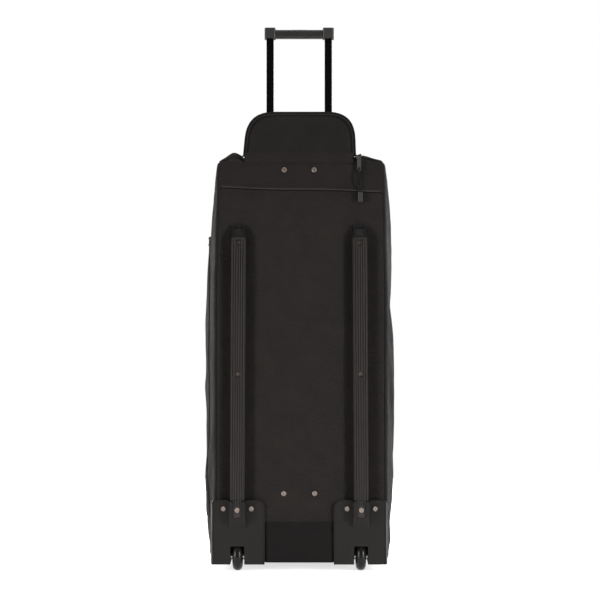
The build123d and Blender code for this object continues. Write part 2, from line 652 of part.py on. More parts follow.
# The fixed half of the flap's zip lies on the top panel, round the well.
FIXED_X = FLAP_HALF + 0.6
fixed_front = BACK + (FLAP_TOP - FLAP_LOW) + 3
fixed_tape = block((-FIXED_X - 11, FIXED_X + 11), (BACK, fixed_front + 11), (BODY_TOP, BODY_TOP + TAPE_T))
fixed_tape = fixed_tape - block((-FIXED_X, FIXED_X), (-200, fixed_front), (700, 800))
teeth = block((-FIXED_X - TOOTH, FIXED_X + TOOTH), (BACK, fixed_front + TOOTH),
              (BODY_TOP + TAPE_T, BODY_TOP + 2.2))
teeth = teeth - block((-FIXED_X, FIXED_X), (-200, fixed_front), (700, 800))
save("well_zip_tape", fixed_tape + teeth)

# Its slider rests at the tape's end, on the back edge, and the pull hangs over that edge.
FLAP_SLIDER_X = 112.0
PIN_Y = BACK - 5.5
PIN_Z = BODY_TOP + 4.5
slider = block((FLAP_SLIDER_X - 5.2, FLAP_SLIDER_X + 5.4), (BACK - 1.5, BACK + 14),
               (BODY_TOP + 2.5, BODY_TOP + 6.5))
slider = fillet(slider.edges().filter_by(Axis.Z).group_by(Axis.Y)[-1], 2.5)
for s in (1, -1):
    slider = slider + block(sorted((FLAP_SLIDER_X + s * 4.0, FLAP_SLIDER_X + s * 5.0)),
                            (PIN_Y - 1.8, BACK - 1.5), (PIN_Z - 1.9, PIN_Z + 1.9))
slider = slider + rod_x(PIN_Y, PIN_Z, FLAP_SLIDER_X - 4.5, FLAP_SLIDER_X + 4.5, 0.8)
save("flap_slider", slider)

TAB_HALF = 3.8
TAB_FOOT = 751.5
EYE_Z = 756.5
tab = block((FLAP_SLIDER_X - TAB_HALF, FLAP_SLIDER_X + TAB_HALF), (PIN_Y - 1, PIN_Y + 1), (TAB_FOOT, PIN_Z))
tab = fillet(tab.edges().filter_by(Axis.Y).group_by(Axis.Z)[0], 1.6)
tab = tab + rod_x(PIN_Y, PIN_Z, FLAP_SLIDER_X - TAB_HALF, FLAP_SLIDER_X + TAB_HALF, 1.6)
tab = tab - rod_x(PIN_Y, PIN_Z, FLAP_SLIDER_X - 6, FLAP_SLIDER_X + 6, 0.9)
save("flap_pull_tab", tab - rod_y(FLAP_SLIDER_X, EYE_Z, -170, -150, 2.1))

# Cord loop through the tab's eye, with both ends in the moulded end piece.
CORD_R = 1.2
CORD_ROUTE = [(112.6, -156.2, 712.0), (108.9, -156.6, 726.0), (108.2, -157.6, 742.0), (112.0, -158.3, 756.5),
              (112.0, -152.7, 756.5), (112.7, -152.9, 742.0), (113.2, -154.6, 726.0), (115.4, -156.2, 712.0)]


def cord_radii(route):
    """The largest tangent arc that each corner's two runs leave room for."""
    radii = []
    for a, b, c in zip(route, route[1:], route[2:]):
        run_in = Vector(*b) - Vector(*a)
        run_out = Vector(*c) - Vector(*b)
        turn = run_in.get_angle(run_out)
        shorter = min(run_in.length, run_out.length)
        radii.append(0.45 * shorter / math.tan(math.radians(turn) / 2))
    return radii


RADII = cord_radii(CORD_ROUTE)
print("cord radii", [round(r, 1) for r in RADII])
path = FilletPolyline(*CORD_ROUTE, radius=RADII)
start = Plane(origin=CORD_ROUTE[0], z_dir=path % 0)
cord = sweep(start * Circle(CORD_R), path=path)
share = cord.volume / (math.pi * CORD_R ** 2 * path.length)
print("cord length", round(path.length, 1), "volume share", round(share, 4))
save("flap_pull_cord", cord)

end_piece = block((110.2, 118.6), (-158.8, -153.8), (694.0, 712.0))
end_piece = fillet(end_piece.edges().filter_by(Axis.Z), 1.2)
save("flap_pull_end", end_piece)
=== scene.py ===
import math

import bmesh
import bpy
import numpy as np
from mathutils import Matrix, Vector, noise
from mathutils.bvhtree import BVHTree
from mathutils.kdtree import KDTree


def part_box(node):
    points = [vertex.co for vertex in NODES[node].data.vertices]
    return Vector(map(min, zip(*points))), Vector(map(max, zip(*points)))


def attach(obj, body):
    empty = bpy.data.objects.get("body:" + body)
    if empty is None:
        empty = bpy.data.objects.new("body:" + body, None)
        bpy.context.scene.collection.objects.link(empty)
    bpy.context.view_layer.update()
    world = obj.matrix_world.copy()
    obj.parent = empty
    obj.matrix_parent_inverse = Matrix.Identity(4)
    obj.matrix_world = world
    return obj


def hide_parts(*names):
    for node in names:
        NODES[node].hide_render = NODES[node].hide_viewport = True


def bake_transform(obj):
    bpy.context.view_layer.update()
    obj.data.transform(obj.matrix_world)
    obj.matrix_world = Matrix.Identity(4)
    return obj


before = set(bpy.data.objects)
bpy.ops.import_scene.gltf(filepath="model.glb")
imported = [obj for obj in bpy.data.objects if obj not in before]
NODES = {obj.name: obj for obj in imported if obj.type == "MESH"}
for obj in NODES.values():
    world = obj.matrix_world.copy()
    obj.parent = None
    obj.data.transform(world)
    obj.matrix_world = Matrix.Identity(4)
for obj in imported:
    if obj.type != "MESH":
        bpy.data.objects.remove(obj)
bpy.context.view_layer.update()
SCENE = bpy.context.scene

# ---- places, all from the frame, in metres ----
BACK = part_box("back_panel")[0].y
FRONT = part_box("lid_panel")[1].y
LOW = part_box("base_panel")[0].z
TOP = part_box("top_panel")[1].z
LID_LOW, LID_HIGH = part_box("lid_panel")
WELL_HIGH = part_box("handle_well_tray")[1]
WHEEL_LOW, WHEEL_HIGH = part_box("wheel_tyre_right")
WHEEL_X = (WHEEL_LOW.x + WHEEL_HIGH.x) / 2
POCKET_LOW, POCKET_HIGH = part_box("side_pocket")
FLAP_LOW, FLAP_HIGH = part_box("flap_zip_tape")
RAIL_LOW, RAIL_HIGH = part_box("skid_rail_right")

# Half widths of the filled bag by height, as the sides bulge and sag.
# The right side is 1 and the left side -1.
SIDE_HALVES = {
    1: [(0.017, 0.171), (0.034, 0.173), (0.074, 0.178), (0.114, 0.183), (0.153, 0.185), (0.232, 0.186),
        (0.312, 0.185), (0.391, 0.184), (0.450, 0.182), (0.510, 0.180), (0.569, 0.183), (0.609, 0.184),
        (0.649, 0.183), (0.688, 0.179), (0.728, 0.1716), (0.757, 0.1655), (0.790, 0.1625)],
    -1: [(0.017, 0.172), (0.034, 0.174), (0.074, 0.179), (0.114, 0.180), (0.232, 0.1815), (0.312, 0.1815),
         (0.391, 0.1825), (0.450, 0.182), (0.510, 0.181), (0.569, 0.178), (0.609, 0.175), (0.649, 0.174),
         (0.688, 0.1705), (0.728, 0.1648), (0.757, 0.1572), (0.790, 0.1535)]}
BACK_HALVES = {1: [(0.55, 0.1640), (0.70, 0.1600)], -1: [(0.55, 0.1585), (0.70, 0.1535)]}
WIDEST = {1: 0.1875, -1: 0.1845}
BULGE_Y = -0.008         # the sides are widest at this depth
FRONT_HALF = 0.166
SIDE_BLEND = 0.004       # rounding between the limits by height and by depth
EDGE_R = 0.011           # rounding of the stuffed edges
GRID = 0.010             # spacing of the fabric grid
WALL = 0.005
RAIL_DIP = 0.0055        # how far the rails draw the padded back in
RAIL_PULL = 0.026        # how far beside the rails that shows


# ---- node materials ----
class Tree:
    """Short calls for the nodes of a material or of the world."""

    def __init__(self, owner):
        owner.use_nodes = True
        self.nodes, self.link = owner.node_tree.nodes, owner.node_tree.links.new

    def fill(self, node, inputs):
        """Sets inputs to constants, or links them to the outputs of other nodes."""
        for name, value in inputs.items():
            if isinstance(value, bpy.types.NodeSocket):
                self.link(value, node.inputs[name])
            else:
                node.inputs[name].default_value = value

    def add(self, kind, output, inputs, operation=None):
        node = self.nodes.new("ShaderNode" + kind)
        if operation:
            node.operation = operation
        self.fill(node, inputs)
        return node.outputs[output]

    def math(self, operation, *values):
        return self.add("Math", 0, dict(enumerate(values)), operation)

    def place(self, scale=(1, 1, 1)):
        """Coordinates in metres in the frame, stretched by scale."""
        return self.add("Mapping", "Vector", {"Vector": self.add("TexCoord", "Object", {}), "Scale": scale})

    def axis(self, vector, name):
        return self.add("SeparateXYZ", name, {0: vector})

    def noise(self, vector, scale, detail=3.0, rough=0.5):
        return self.add("TexNoise", "Fac", {"Vector": vector, "Scale": scale, "Detail": detail, "Roughness": rough})

    def carried(self, value, low, high, start, end):
        """A value between low and high, carried to the span from start to end."""
        return self.add("MapRange", "Result", {"Value": value, "From Min": low, "From Max": high,
                                               "To Min": start, "To Max": end})

    def bump(self, height, distance, strength, before=None):
        inputs = {"Height": height, "Distance": distance, "Strength": strength}
        return self.add("Bump", "Normal", inputs if before is None else {**inputs, "Normal": before})

    def ramp(self, factor, *stops):
        node = self.nodes.new("ShaderNodeValToRGB")
        elements = node.color_ramp.elements
        while len(elements) < len(stops):
            elements.new(0.5)
        for element, (position, value) in zip(elements, stops):
            element.position = position
            element.color = (*(value if isinstance(value, tuple) else grey(value)), 1.0)
        self.link(factor, node.inputs["Fac"])
        return node.outputs["Color"]


def grey(level):
    return (level, level, level)


def scaled(base, share):
    return tuple(min(1.0, channel * share) for channel in base)


def new_material(name, base, rough, metallic=0.0):
    mat = bpy.data.materials.new(name)
    tree = Tree(mat)
    bsdf = tree.nodes["Principled BSDF"]
    tree.fill(bsdf, {"Base Color": (*base, 1.0), "Roughness": rough, "Metallic": metallic})
    return mat, tree, bsdf


def fabric(name, base, plane="XZ", pitch=0.0009, rib=0.0, rough=0.82, depth=0.00012):
    """Woven cloth: crossed threads in the given plane, mottled colour with painted shade in the weave's grooves, dusty
    sheen, and optional slanted ribs.
    """
    mat, tree, bsdf = new_material(name, base, rough)
    where = tree.place()
    u, v = (tree.axis(where, name) for name in plane)
    warp, weft = (tree.math("SINE", tree.math("MULTIPLY", along, 2 * math.pi / pitch)) for along in (u, v))
    height = tree.math("MULTIPLY_ADD", tree.math("MULTIPLY", warp, weft), 0.5, 0.5)
    if rib:
        slanted = tree.math("MULTIPLY_ADD", u, 0.4, v)
        shifted = tree.math("MULTIPLY_ADD", tree.noise(where, 60.0, 2.0), rib * 1.2, slanted)
        across = tree.math("SINE", tree.math("MULTIPLY", shifted, 2 * math.pi / rib))
        height = tree.math("MULTIPLY_ADD", across, 0.45, height)
    mottle = tree.noise(where, 26.0, 4.0, 0.6)
    thread = tree.noise(tree.place((1, 1, 2.5)), 900.0, 2.0)
    dye_and_groove_shade = tree.math("MULTIPLY_ADD", mottle, 0.4, 0.3)
    dye_and_groove_shade = tree.math("MULTIPLY_ADD", thread, 0.45, dye_and_groove_shade)
    # painted shade: the colour darkens where the weave's height is low, in its grooves
    dye_and_groove_shade = tree.math("MULTIPLY_ADD", height, 0.2, dye_and_groove_shade)
    soft = tree.bump(tree.noise(where, 9.0, 3.0, 0.55), 0.0025, 0.5)
    tree.fill(bsdf, {
        "Base Color": tree.ramp(dye_and_groove_shade, (0.45, scaled(base, 0.5)), (0.75, base), (1.0, scaled(base, 1.8))),
        "Roughness": tree.ramp(mottle, (0.3, rough - 0.06), (0.7, rough + 0.08)),
        "Sheen Weight": 0.02, "Sheen Roughness": 0.5, "Sheen Tint": (0.9, 0.87, 0.85, 1.0),
        "Specular IOR Level": 0.07, "Normal": tree.bump(height, depth, 0.8, soft)})
    return mat


def plastic(name, base, rough=0.5, grain=900.0, depth=0.00006, scuffs=0.0, stretch=(1, 1, 1), spec=0.28):
    """Moulded plastic: fine grain, uneven gloss, and pale scuffs where it drags along the ground."""
    mat, tree, bsdf = new_material(name, base, rough)
    where = tree.place()
    cloudy = tree.noise(where, 22.0, 4.0, 0.6)
    streaks = tree.noise(tree.place(stretch), 240.0, 4.0, 0.7)
    normal = tree.bump(tree.noise(where, grain, 2.0), depth, 0.7)
    if scuffs:
        normal = tree.bump(streaks, 0.0002, scuffs, normal)
    tree.fill(bsdf, {
        "Base Color": tree.ramp(streaks, (0.3, scaled(base, 0.85)), (0.62, base),
                                (0.8, scaled(base, 1.25 + 1.2 * scuffs))),
        "Roughness": tree.ramp(cloudy, (0.3, rough - 0.07), (0.7, rough + 0.1)),
        "Specular IOR Level": spec, "Normal": normal})
    return mat


def metal(name, base, rough=0.3, tarnish=0.3, metallic=1.0, scale=400.0, spec=0.5):
    """Metal with a little tarnish in patches and fine scratches."""
    mat, tree, bsdf = new_material(name, base, rough, metallic)
    patches = tree.noise(tree.place(), scale, 4.0, 0.6)
    scratches = tree.noise(tree.place((1, 1, 0.08)), 1500.0, 2.0)
    tree.fill(bsdf, {
        "Base Color": tree.ramp(patches, (0.35, scaled(base, 1 - tarnish)), (0.65, base)),
        "Roughness": tree.ramp(patches, (0.3, rough + 0.15), (0.7, rough)),
        "Specular IOR Level": spec, "Normal": tree.bump(scratches, 0.00002, 0.4)})
    return mat


PANEL_DYE = (0.0078, 0.0067, 0.0061)
SMOOTH_DYE = (0.0056, 0.0046, 0.0043)
RIBBED = {"pitch": 0.0013, "rib": 0.0046, "depth": 0.0008}
MATS = {
    "back": fabric("ribbed_weave_back", PANEL_DYE, "XZ", **RIBBED),
    "side": fabric("ribbed_weave_side", PANEL_DYE, "YZ", **RIBBED),
    "level": fabric("ribbed_weave_level", PANEL_DYE, "XY", **RIBBED),
    "smooth": fabric("smooth_cloth", SMOOTH_DYE),
    "smooth_level": fabric("smooth_cloth_level", SMOOTH_DYE, "XY"),
    "flap": fabric("flap_cloth", (0.0047, 0.0040, 0.0037), rough=0.78),
    "base_band": fabric("base_band_cloth", (0.0029, 0.0025, 0.0024)),
    # painted highlight: a paler cloth for the band's folded lower edge, where the fold catches light from above
    "worn_fold": fabric("painted_highlight_fold_cloth", (0.0160, 0.0140, 0.0130), depth=0.0002),
    "lining": fabric("lining_cloth", (0.0090, 0.0090, 0.0095), "YZ", pitch=0.0008, depth=0.0001, rough=0.6),
    # the tape cloth is also used for painted shadow strips under the band's edge and in the back seams
    "tape": fabric("zip_tape_weave_and_painted_shadow", (0.0022, 0.0021, 0.0020), pitch=0.0008, rib=0.0011, depth=0.00015),
    "webbing": fabric("webbing_weave", (0.0072, 0.0070, 0.0067), "XY", pitch=0.0016, rib=0.0022, depth=0.0004),
    "welt": fabric("welt_cloth", (0.0075, 0.0066, 0.0062), depth=0.0001),
    "thread": fabric("thread", (0.0090, 0.0086, 0.0081), pitch=0.0004, depth=0.00005, rough=0.6),
    "foam": fabric("cradle_cover", (0.0090, 0.0090, 0.0095), pitch=0.001, depth=0.0002),
    "cord": fabric("braided_cord", grey(0.0040), pitch=0.0008, depth=0.0003, rough=0.7),
    "housing": plastic("housing_moulding", (0.0066, 0.0059, 0.0054), 0.5, 1100.0, 0.0001, 0.25, spec=0.12),
    "rail": plastic("rail_moulding", (0.0195, 0.0172, 0.0163), 0.46, 800.0, 0.00008, 0.5, (1, 1, 0.05), 0.12),
    "board": plastic("board_sheet", grey(0.0180)),
    "frame": plastic("frame_moulding", grey(0.0108), 0.45),
    "grip": plastic("grip_moulding", (0.0085, 0.0078, 0.0074), 0.42, 1400.0, 0.00008),
    "cap": plastic("cap_moulding", (0.0140, 0.0130, 0.0124), 0.45, 1400.0, 0.00008),
    "foot": plastic("foot_rubber", grey(0.0090), 0.7, 700.0, 0.0002),
    "tyre": plastic("tyre_urethane", (0.0040, 0.0037, 0.0035), 0.26, 500.0, 0.00008, 0.2, spec=0.14),
    "hub": plastic("hub_nylon", grey(0.0120), 0.45),
    "pull": plastic("pull_moulding", (0.0200, 0.0188, 0.0175), 0.5, 1200.0, 0.00008),
    "pull_end": plastic("pull_end_moulding", (0.0150, 0.0141, 0.0131), 0.5, 1200.0, 0.00008),
    "coil": plastic("zip_coil", grey(0.0072), 0.35, 1500.0, 0.00002),
    "tube": metal("tube_lacquer", grey(0.0012), 0.3, 0.2, 0.0, 60.0, 0.04),
    "zinc": metal("zinc_plate", (0.55, 0.54, 0.52), 0.32),
    "rivet": metal("rivet_plate", (0.31, 0.255, 0.22), 0.38, 0.6, 1.0, 900.0),
    "steel": metal("bearing_steel", grey(0.45), 0.28),
    "zip_metal": metal("zip_lacquer", grey(0.03), metallic=0.7),
}


def painted_shade_above(mat, low, high, share):
    """The material's colour falls to a share of itself between two heights: painted shade."""
    tree = Tree(mat)
    bsdf = tree.nodes["Principled BSDF"]
    colour = bsdf.inputs["Base Color"].links[0].from_socket
    dim = tree.carried(tree.axis(tree.place(), "Z"), low, high, 1.0, share)
    tree.fill(bsdf, {"Base Color": tree.add("VectorMath", "Vector", {0: colour, "Scale": dim}, "SCALE")})


# painted shade: the rail's top end, where it runs into its pocket, falls to a small share of its colour
painted_shade_above(MATS["rail"], RAIL_HIGH.z - 0.025, RAIL_HIGH.z - 0.022, 0.12)


# ---- making pieces ----
def add_mesh(name, verts, faces, mats):
    mesh = bpy.data.meshes.new(name)
    mesh.from_pydata([tuple(v) for v in verts], [], faces)
    mesh.validate()
    for mat in mats:
        mesh.materials.append(mat)
    mesh.polygons.foreach_set("use_smooth", [True] * len(mesh.polygons))
    obj = bpy.data.objects.new(name, mesh)
    SCENE.collection.objects.link(obj)
    return obj


def soften(obj, width, segments):
    """Rounds the sharp edges of a CAD node: its split vertices are welded first."""
    weld = obj.modifiers.new("weld", "WELD")
    weld.merge_threshold = 0.00001
    bevel = obj.modifiers.new("bevel", "BEVEL")
    bevel.width = width
    bevel.segments = segments
    bevel.limit_method = "ANGLE"
    bevel.angle_limit = math.radians(35.0)
    bevel.harden_normals = True


def subdivide(obj):
    mod = obj.modifiers.new("subdivide", "SUBSURF")
    mod.levels = mod.render_levels = 1


def thicken(obj, thickness, lined=False):
    mod = obj.modifiers.new("thickness", "SOLIDIFY")
    mod.thickness = thickness
    mod.offset = -1.0
    if lined:
        mod.material_offset = mod.material_offset_rim = 1


# ---- the stuffed shell, one lofted grid that the sewn panels are cut from ----
def smooth_outline(points):
    """A soft curve through a few (height, half width) points."""
    heights = np.linspace(points[0][0] - 0.05, points[-1][0] + 0.05, 300)
    halves = np.interp(heights, *zip(*points))
    window = np.hanning(17)
    padded = np.pad(halves, 8, mode="edge")
    return heights, np.convolve(padded, window / window.sum(), mode="valid")


OUTLINES = {s: smooth_outline(points) for s, points in SIDE_HALVES.items()}


def half_width(s, y, z):
    """How far the side stands out at a depth and a height."""
    by_height = float(np.interp(z, *OUTLINES[s]))
    end, end_half = (BACK, float(np.interp(z, *zip(*BACK_HALVES[s])))) if y < BULGE_Y else (FRONT, FRONT_HALF)
    by_depth = WIDEST[s] - (WIDEST[s] - end_half) * ((y - BULGE_Y) / (end - BULGE_Y)) ** 2
    k = SIDE_BLEND
    return -k * math.log(math.exp(-by_height / k) + math.exp(-by_depth / k))


def grid_lines(marks, step):
    """Positions that hold every mark, with even steps no longer than step between them."""
    lines = [marks[0]]
    for a, b in zip(marks, marks[1:]):
        count = max(1, math.ceil((b - a) / step - 1e-6))
        lines += [a + (b - a) * n / count for n in range(1, count + 1)]
    return lines


LID_X = LID_HIGH.x
WELL_X = WELL_HIGH.x - 0.002
WELL_Y = WELL_HIGH.y - 0.002
ARCH_HALF = 0.0187
ARCH_IN, ARCH_OUT = WHEEL_X - ARCH_HALF, WHEEL_X + ARCH_HALF
ARCH_TOP = 0.086
ARCH_FRONT = -0.101
NEAR_EDGE = (0.003, 0.0065, EDGE_R)
X_LINES = grid_lines([0.0] + sorted([WELL_X, ARCH_IN, ARCH_OUT, LID_X]), GRID)
X_SHARES = (0.25, 0.5, 0.75, 0.9, 1.0)
COLUMNS = [(x, None) for x in X_LINES] + [(LID_X, share) for share in X_SHARES]
COLUMNS = [(-x, t) for x, t in reversed(COLUMNS[1:])] + COLUMNS
Y_LINES = [BACK + d for d in (0, *NEAR_EDGE)][:-1] + grid_lines(
    [BACK + EDGE_R, ARCH_FRONT, POCKET_LOW.y, WELL_Y, POCKET_HIGH.y, FRONT - EDGE_R], GRID)
Y_LINES += [FRONT - d for d in reversed((0, *NEAR_EDGE))][1:]
Z_LINES = [LOW + d for d in (0, *NEAR_EDGE)][:-1] + grid_lines(
    [LOW + EDGE_R, LID_LOW.z, ARCH_TOP, POCKET_LOW.z, POCKET_HIGH.z, LID_HIGH.z, TOP - EDGE_R], GRID)
Z_LINES += [TOP - d for d in reversed((0, *NEAR_EDGE))][1:]


def top_dome(x, y):
    """The filled top stands up round the well, most of all beside it."""
    across = max(0.0, 1 - (abs(x) / 0.156) ** 4)
    along = max(0.0, 1 - ((y - 0.01) / 0.16) ** 4)
    beside = max(0.0, abs(x) - WELL_X) / 0.02
    ahead = max(0.0, y - WELL_Y) / 0.05
    tuck = 0.018 * math.exp(-((x + 0.123) / 0.015) ** 2) * math.exp(-((y + 0.130) / 0.018) ** 2)
    tuck += 0.009 * math.exp(-((x - 0.118) / 0.024) ** 2) * math.exp(-((y + 0.130) / 0.024) ** 2)
    return 0.013 * across * along * min(1.0, beside + ahead) ** 0.7 + tuck


def shell_point(column, y, z):
    x, share = column
    s = 1 if x >= 0 else -1
    half = half_width(s, y, z)
    if share is not None:
        x = s * (LID_X + (half - LID_X) * share)
    centre = Vector((s * min(abs(x), half - EDGE_R), min(max(y, BACK + EDGE_R), FRONT - EDGE_R),
                     min(max(z, LOW + EDGE_R), TOP - EDGE_R)))
    point = Vector((x, y, z))
    out = point - centre
    if out.length > 1e-7 and sum(abs(c) > 1e-7 for c in out) > 1:
        point = centre + out.normalized() * EDGE_R
    lift = min(1.0, max(0.0, (z - (TOP - 0.06)) / 0.06))
    point.z += top_dome(point.x, point.y) * lift
    if y < BACK + 0.001 and RAIL_LOW.z < z < RAIL_HIGH.z:
        beside = math.exp(-(abs(abs(x) - WHEEL_X) / RAIL_PULL) ** 4)
        ends = min(1.0, (z - RAIL_LOW.z) / 0.03, (RAIL_HIGH.z - z) / 0.03)
        point.y += RAIL_DIP * beside * ends
    return point


def build_shell():
    """The whole bag as one closed grid. Each face is labelled with the panel that it belongs to."""
    nx, ny, nz = len(COLUMNS), len(Y_LINES), len(Z_LINES)
    index, verts, faces, labels = {}, [], [], []

    def vertex(i, j, k):
        if (i, j, k) not in index:
            index[i, j, k] = len(verts)
            verts.append(shell_point(COLUMNS[i], Y_LINES[j], Z_LINES[k]))
        return index[i, j, k]

    def face(corners, label):
        faces.append([vertex(*c) for c in corners])
        labels.append(label)

    for i in range(nx - 1):
        x = (COLUMNS[i][0] + COLUMNS[i + 1][0]) / 2
        inner = COLUMNS[i][1] is None and COLUMNS[i + 1][1] is None
        arch = ARCH_IN < abs(x) < ARCH_OUT
        for k in range(nz - 1):
            z = (Z_LINES[k] + Z_LINES[k + 1]) / 2
            label = "cut" if arch and z < ARCH_TOP else "back"
            face([(i, 0, k), (i + 1, 0, k), (i + 1, 0, k + 1), (i, 0, k + 1)], label)
            label = "lid" if inner and LID_LOW.z < z < LID_HIGH.z else "rim"
            face([(i + 1, ny - 1, k), (i, ny - 1, k), (i, ny - 1, k + 1), (i + 1, ny - 1, k + 1)], label)
        for j in range(ny - 1):
            y = (Y_LINES[j] + Y_LINES[j + 1]) / 2
            label = "cut" if arch and y < ARCH_FRONT else "base"
            face([(i + 1, j, 0), (i, j, 0), (i, j + 1, 0), (i + 1, j + 1, 0)], label)
            well = abs(x) < WELL_X and BACK + EDGE_R < y < WELL_Y
            face([(i, j, nz - 1), (i + 1, j, nz - 1), (i + 1, j + 1, nz - 1), (i, j + 1, nz - 1)],
                 "well" if well else "top")
    for j in range(ny - 1):
        for k in range(nz - 1):
            face([(0, j + 1, k), (0, j, k), (0, j, k + 1), (0, j + 1, k + 1)], "left")
            face([(nx - 1, j, k), (nx - 1, j + 1, k), (nx - 1, j + 1, k + 1), (nx - 1, j, k + 1)], "right")
    return verts, faces, labels, index


def seam_vertices(faces, labels):
    """Vertices where two panels meet."""
    seen = {}
    for face, label in zip(faces, labels):
        for v in face:
            seen.setdefault(v, set()).add(label)
    return {v for v, found in seen.items() if len(found) > 1}


CLOTH_FRAMES = 24


def simulate_cloth(obj, pinned):
    """Runs the cloth solver on obj, held at its pins, and returns where the vertices come to rest."""
    obj.vertex_groups.new(name="pins").add(list(pinned), 1.0, "REPLACE")
    mod = obj.modifiers.new("cloth", "CLOTH")
    cloth = mod.settings
    cloth.quality = 6
    cloth.mass = 0.25
    cloth.tension_stiffness = cloth.compression_stiffness = 25.0
    cloth.shear_stiffness = 8.0
    cloth.bending_stiffness = 2.0
    cloth.vertex_group_mass = "pins"
    cloth.pin_stiffness = 4.0
    cloth.use_pressure = True
    cloth.uniform_pressure_force = 0.5
    cloth.shrink_min = -0.008
    cloth.effector_weights.gravity = 0.35
    mod.collision_settings.use_collision = False
    mod.point_cache.frame_start, mod.point_cache.frame_end = 1, CLOTH_FRAMES
    SCENE.frame_start, SCENE.frame_end = 1, CLOTH_FRAMES
    for number in range(1, CLOTH_FRAMES + 1):
        SCENE.frame_set(number)
    evaluated = obj.evaluated_get(bpy.context.evaluated_depsgraph_get())
    settled = [v.co.copy() for v in evaluated.data.vertices]
    obj.modifiers.remove(mod)
    SCENE.frame_set(1)
    return settled


def fbm(point, scale, seed, octaves=3):
    """Layered noise between about -1 and 1."""
    total, size = 0.0, 1.0
    for n in range(octaves):
        offset = Vector((seed * 7.3, seed * 3.1 + n, seed * 1.7))
        total += size * noise.noise(Vector([c * k for c, k in zip(point, scale)]) + offset)
        scale = tuple(2 * c for c in scale)
        size *= 0.5
    return total


def normals_of(verts, faces):
    found = [Vector() for _ in verts]
    for face in faces:
        a, b, c, d = (verts[v] for v in face)
        n = (c - a).cross(d - b)
        for v in face:
            found[v] += n
    return [n.normalized() for n in found]


CAP = 0.0030             # how far the simulation may move the fabric
SEAM_REACH = 0.035       # the seams hold the fabric beside them
shell_verts, shell_faces, shell_labels, shell_index = build_shell()
seams = seam_vertices(shell_faces, shell_labels)
stiff = {v for face, label in zip(shell_faces, shell_labels) if label in ("back", "base", "cut", "well")
         for v in face}
form = add_mesh("shell_form", shell_verts, shell_faces, [MATS["side"]])
for number, vertex in enumerate(form.data.vertices):
    if number not in seams and number not in stiff:
        vertex.co += Vector([fbm(vertex.co, (14, 14, 9), 3 + a) for a in range(3)]) * 0.0015
settled = simulate_cloth(form, seams | stiff)
bpy.data.objects.remove(form)
near = KDTree(len(seams))
for number in seams:
    near.insert(shell_verts[number], number)
near.balance()
for number, (start, point) in enumerate(zip(list(shell_verts), settled)):
    move = point - start
    if number not in stiff and number not in seams:
        share = min(1.0, near.find(start)[2] / SEAM_REACH)
        shell_verts[number] = start + move * share * min(1.0, CAP / max(move.length, 1e-9))

GROOVE = 0.0022          # how deep the seams lie
BACK_GROOVE = 0.0048     # the same for the seams beside the back panel
ZIP_REACH = 0.016        # the cloth lies flat beside the lid's zip
for number, normal in enumerate(normals_of(shell_verts, shell_faces)):
    point = shell_verts[number]
    if number in seams:
        beside_back = point.y < BACK + 0.012 and abs(point.x) > 0.14
        lift = -(BACK_GROOVE if beside_back else GROOVE)
    elif number in stiff:
        lift = 0.0007 * fbm(point, (10, 10, 6), 1) + 0.0009 * fbm(point, (22, 22, 5), 4)
    else:
        lift = 0.0009 * fbm(point, (16, 16, 9), 2) + 0.0006 * fbm(point, (30, 30, 60), 5)
    shell_verts[number] = point = point + normal * lift
    beside = (abs(abs(point.x) - LID_X), abs(point.z - LID_LOW.z), abs(point.z - LID_HIGH.z))
    if point.y > FRONT - 0.008 and min(beside) < ZIP_REACH:
        point.y = min(point.y, FRONT - 0.0002)


def cut_panel(panel, name, body, cloth, replaced):
    """One sewn panel of the shell, with its own thickness and lining."""
    chosen = [face for face, label in zip(shell_faces, shell_labels) if label == panel]
    used = sorted({v for face in chosen for v in face})
    renumber = {v: n for n, v in enumerate(used)}
    obj = add_mesh(name, [shell_verts[v] for v in used], [[renumber[v] for v in f] for f in chosen],
                   [MATS[cloth], MATS["lining"]])
    subdivide(obj)
    thicken(obj, WALL, lined=True)
    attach(obj, body)
    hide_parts(replaced)
    return obj


back_cloth = cut_panel("back", "back_panel_cloth", "bag", "back", "back_panel")
left_cloth = cut_panel("left", "side_cloth_left", "bag", "side", "side_panel_left")
cut_panel("right", "side_cloth_right", "bag", "side", "side_panel_right")
top_cloth = cut_panel("top", "top_cloth", "bag", "smooth_level", "top_panel")
cut_panel("base", "base_cloth", "bag", "level", "base_panel")
rim_cloth = cut_panel("rim", "front_rim_cloth", "bag", "back", "front_rim")
lid_cloth = cut_panel("lid", "lid_cloth", "lid", "back", "lid_panel")


# ---- helpers for pieces that are laid on the finished panels ----
def surface_tree(*objs):
    """The finished surface of some pieces, to lay others on."""
    graph = bpy.context.evaluated_depsgraph_get()
    verts, faces = [], []
    for obj in objs:
        mesh = obj.evaluated_get(graph).to_mesh()
        first = len(verts)
        verts += [obj.matrix_world @ v.co for v in mesh.vertices]
        faces += [[first + v for v in p.vertices] for p in mesh.polygons]
    return BVHTree.FromPolygons(verts, faces)


def laid(tree, points, towards, lift=0.0):
    """Points moved along towards until they meet the surface, and the surface's normals there."""
    towards = Vector(towards)
    places, ups = [], []
    for point in points:
        hit, normal, *_ = tree.ray_cast(Vector(point) - towards * 0.08, towards, 0.2)
        if hit is None:
            hit, normal = Vector(point), -towards
        if normal.dot(towards) > 0:
            normal = -normal
        if normal.dot(towards) > -0.25:
            normal = -towards
        places.append(hit + normal * lift)
        ups.append(normal)
    return places, ups


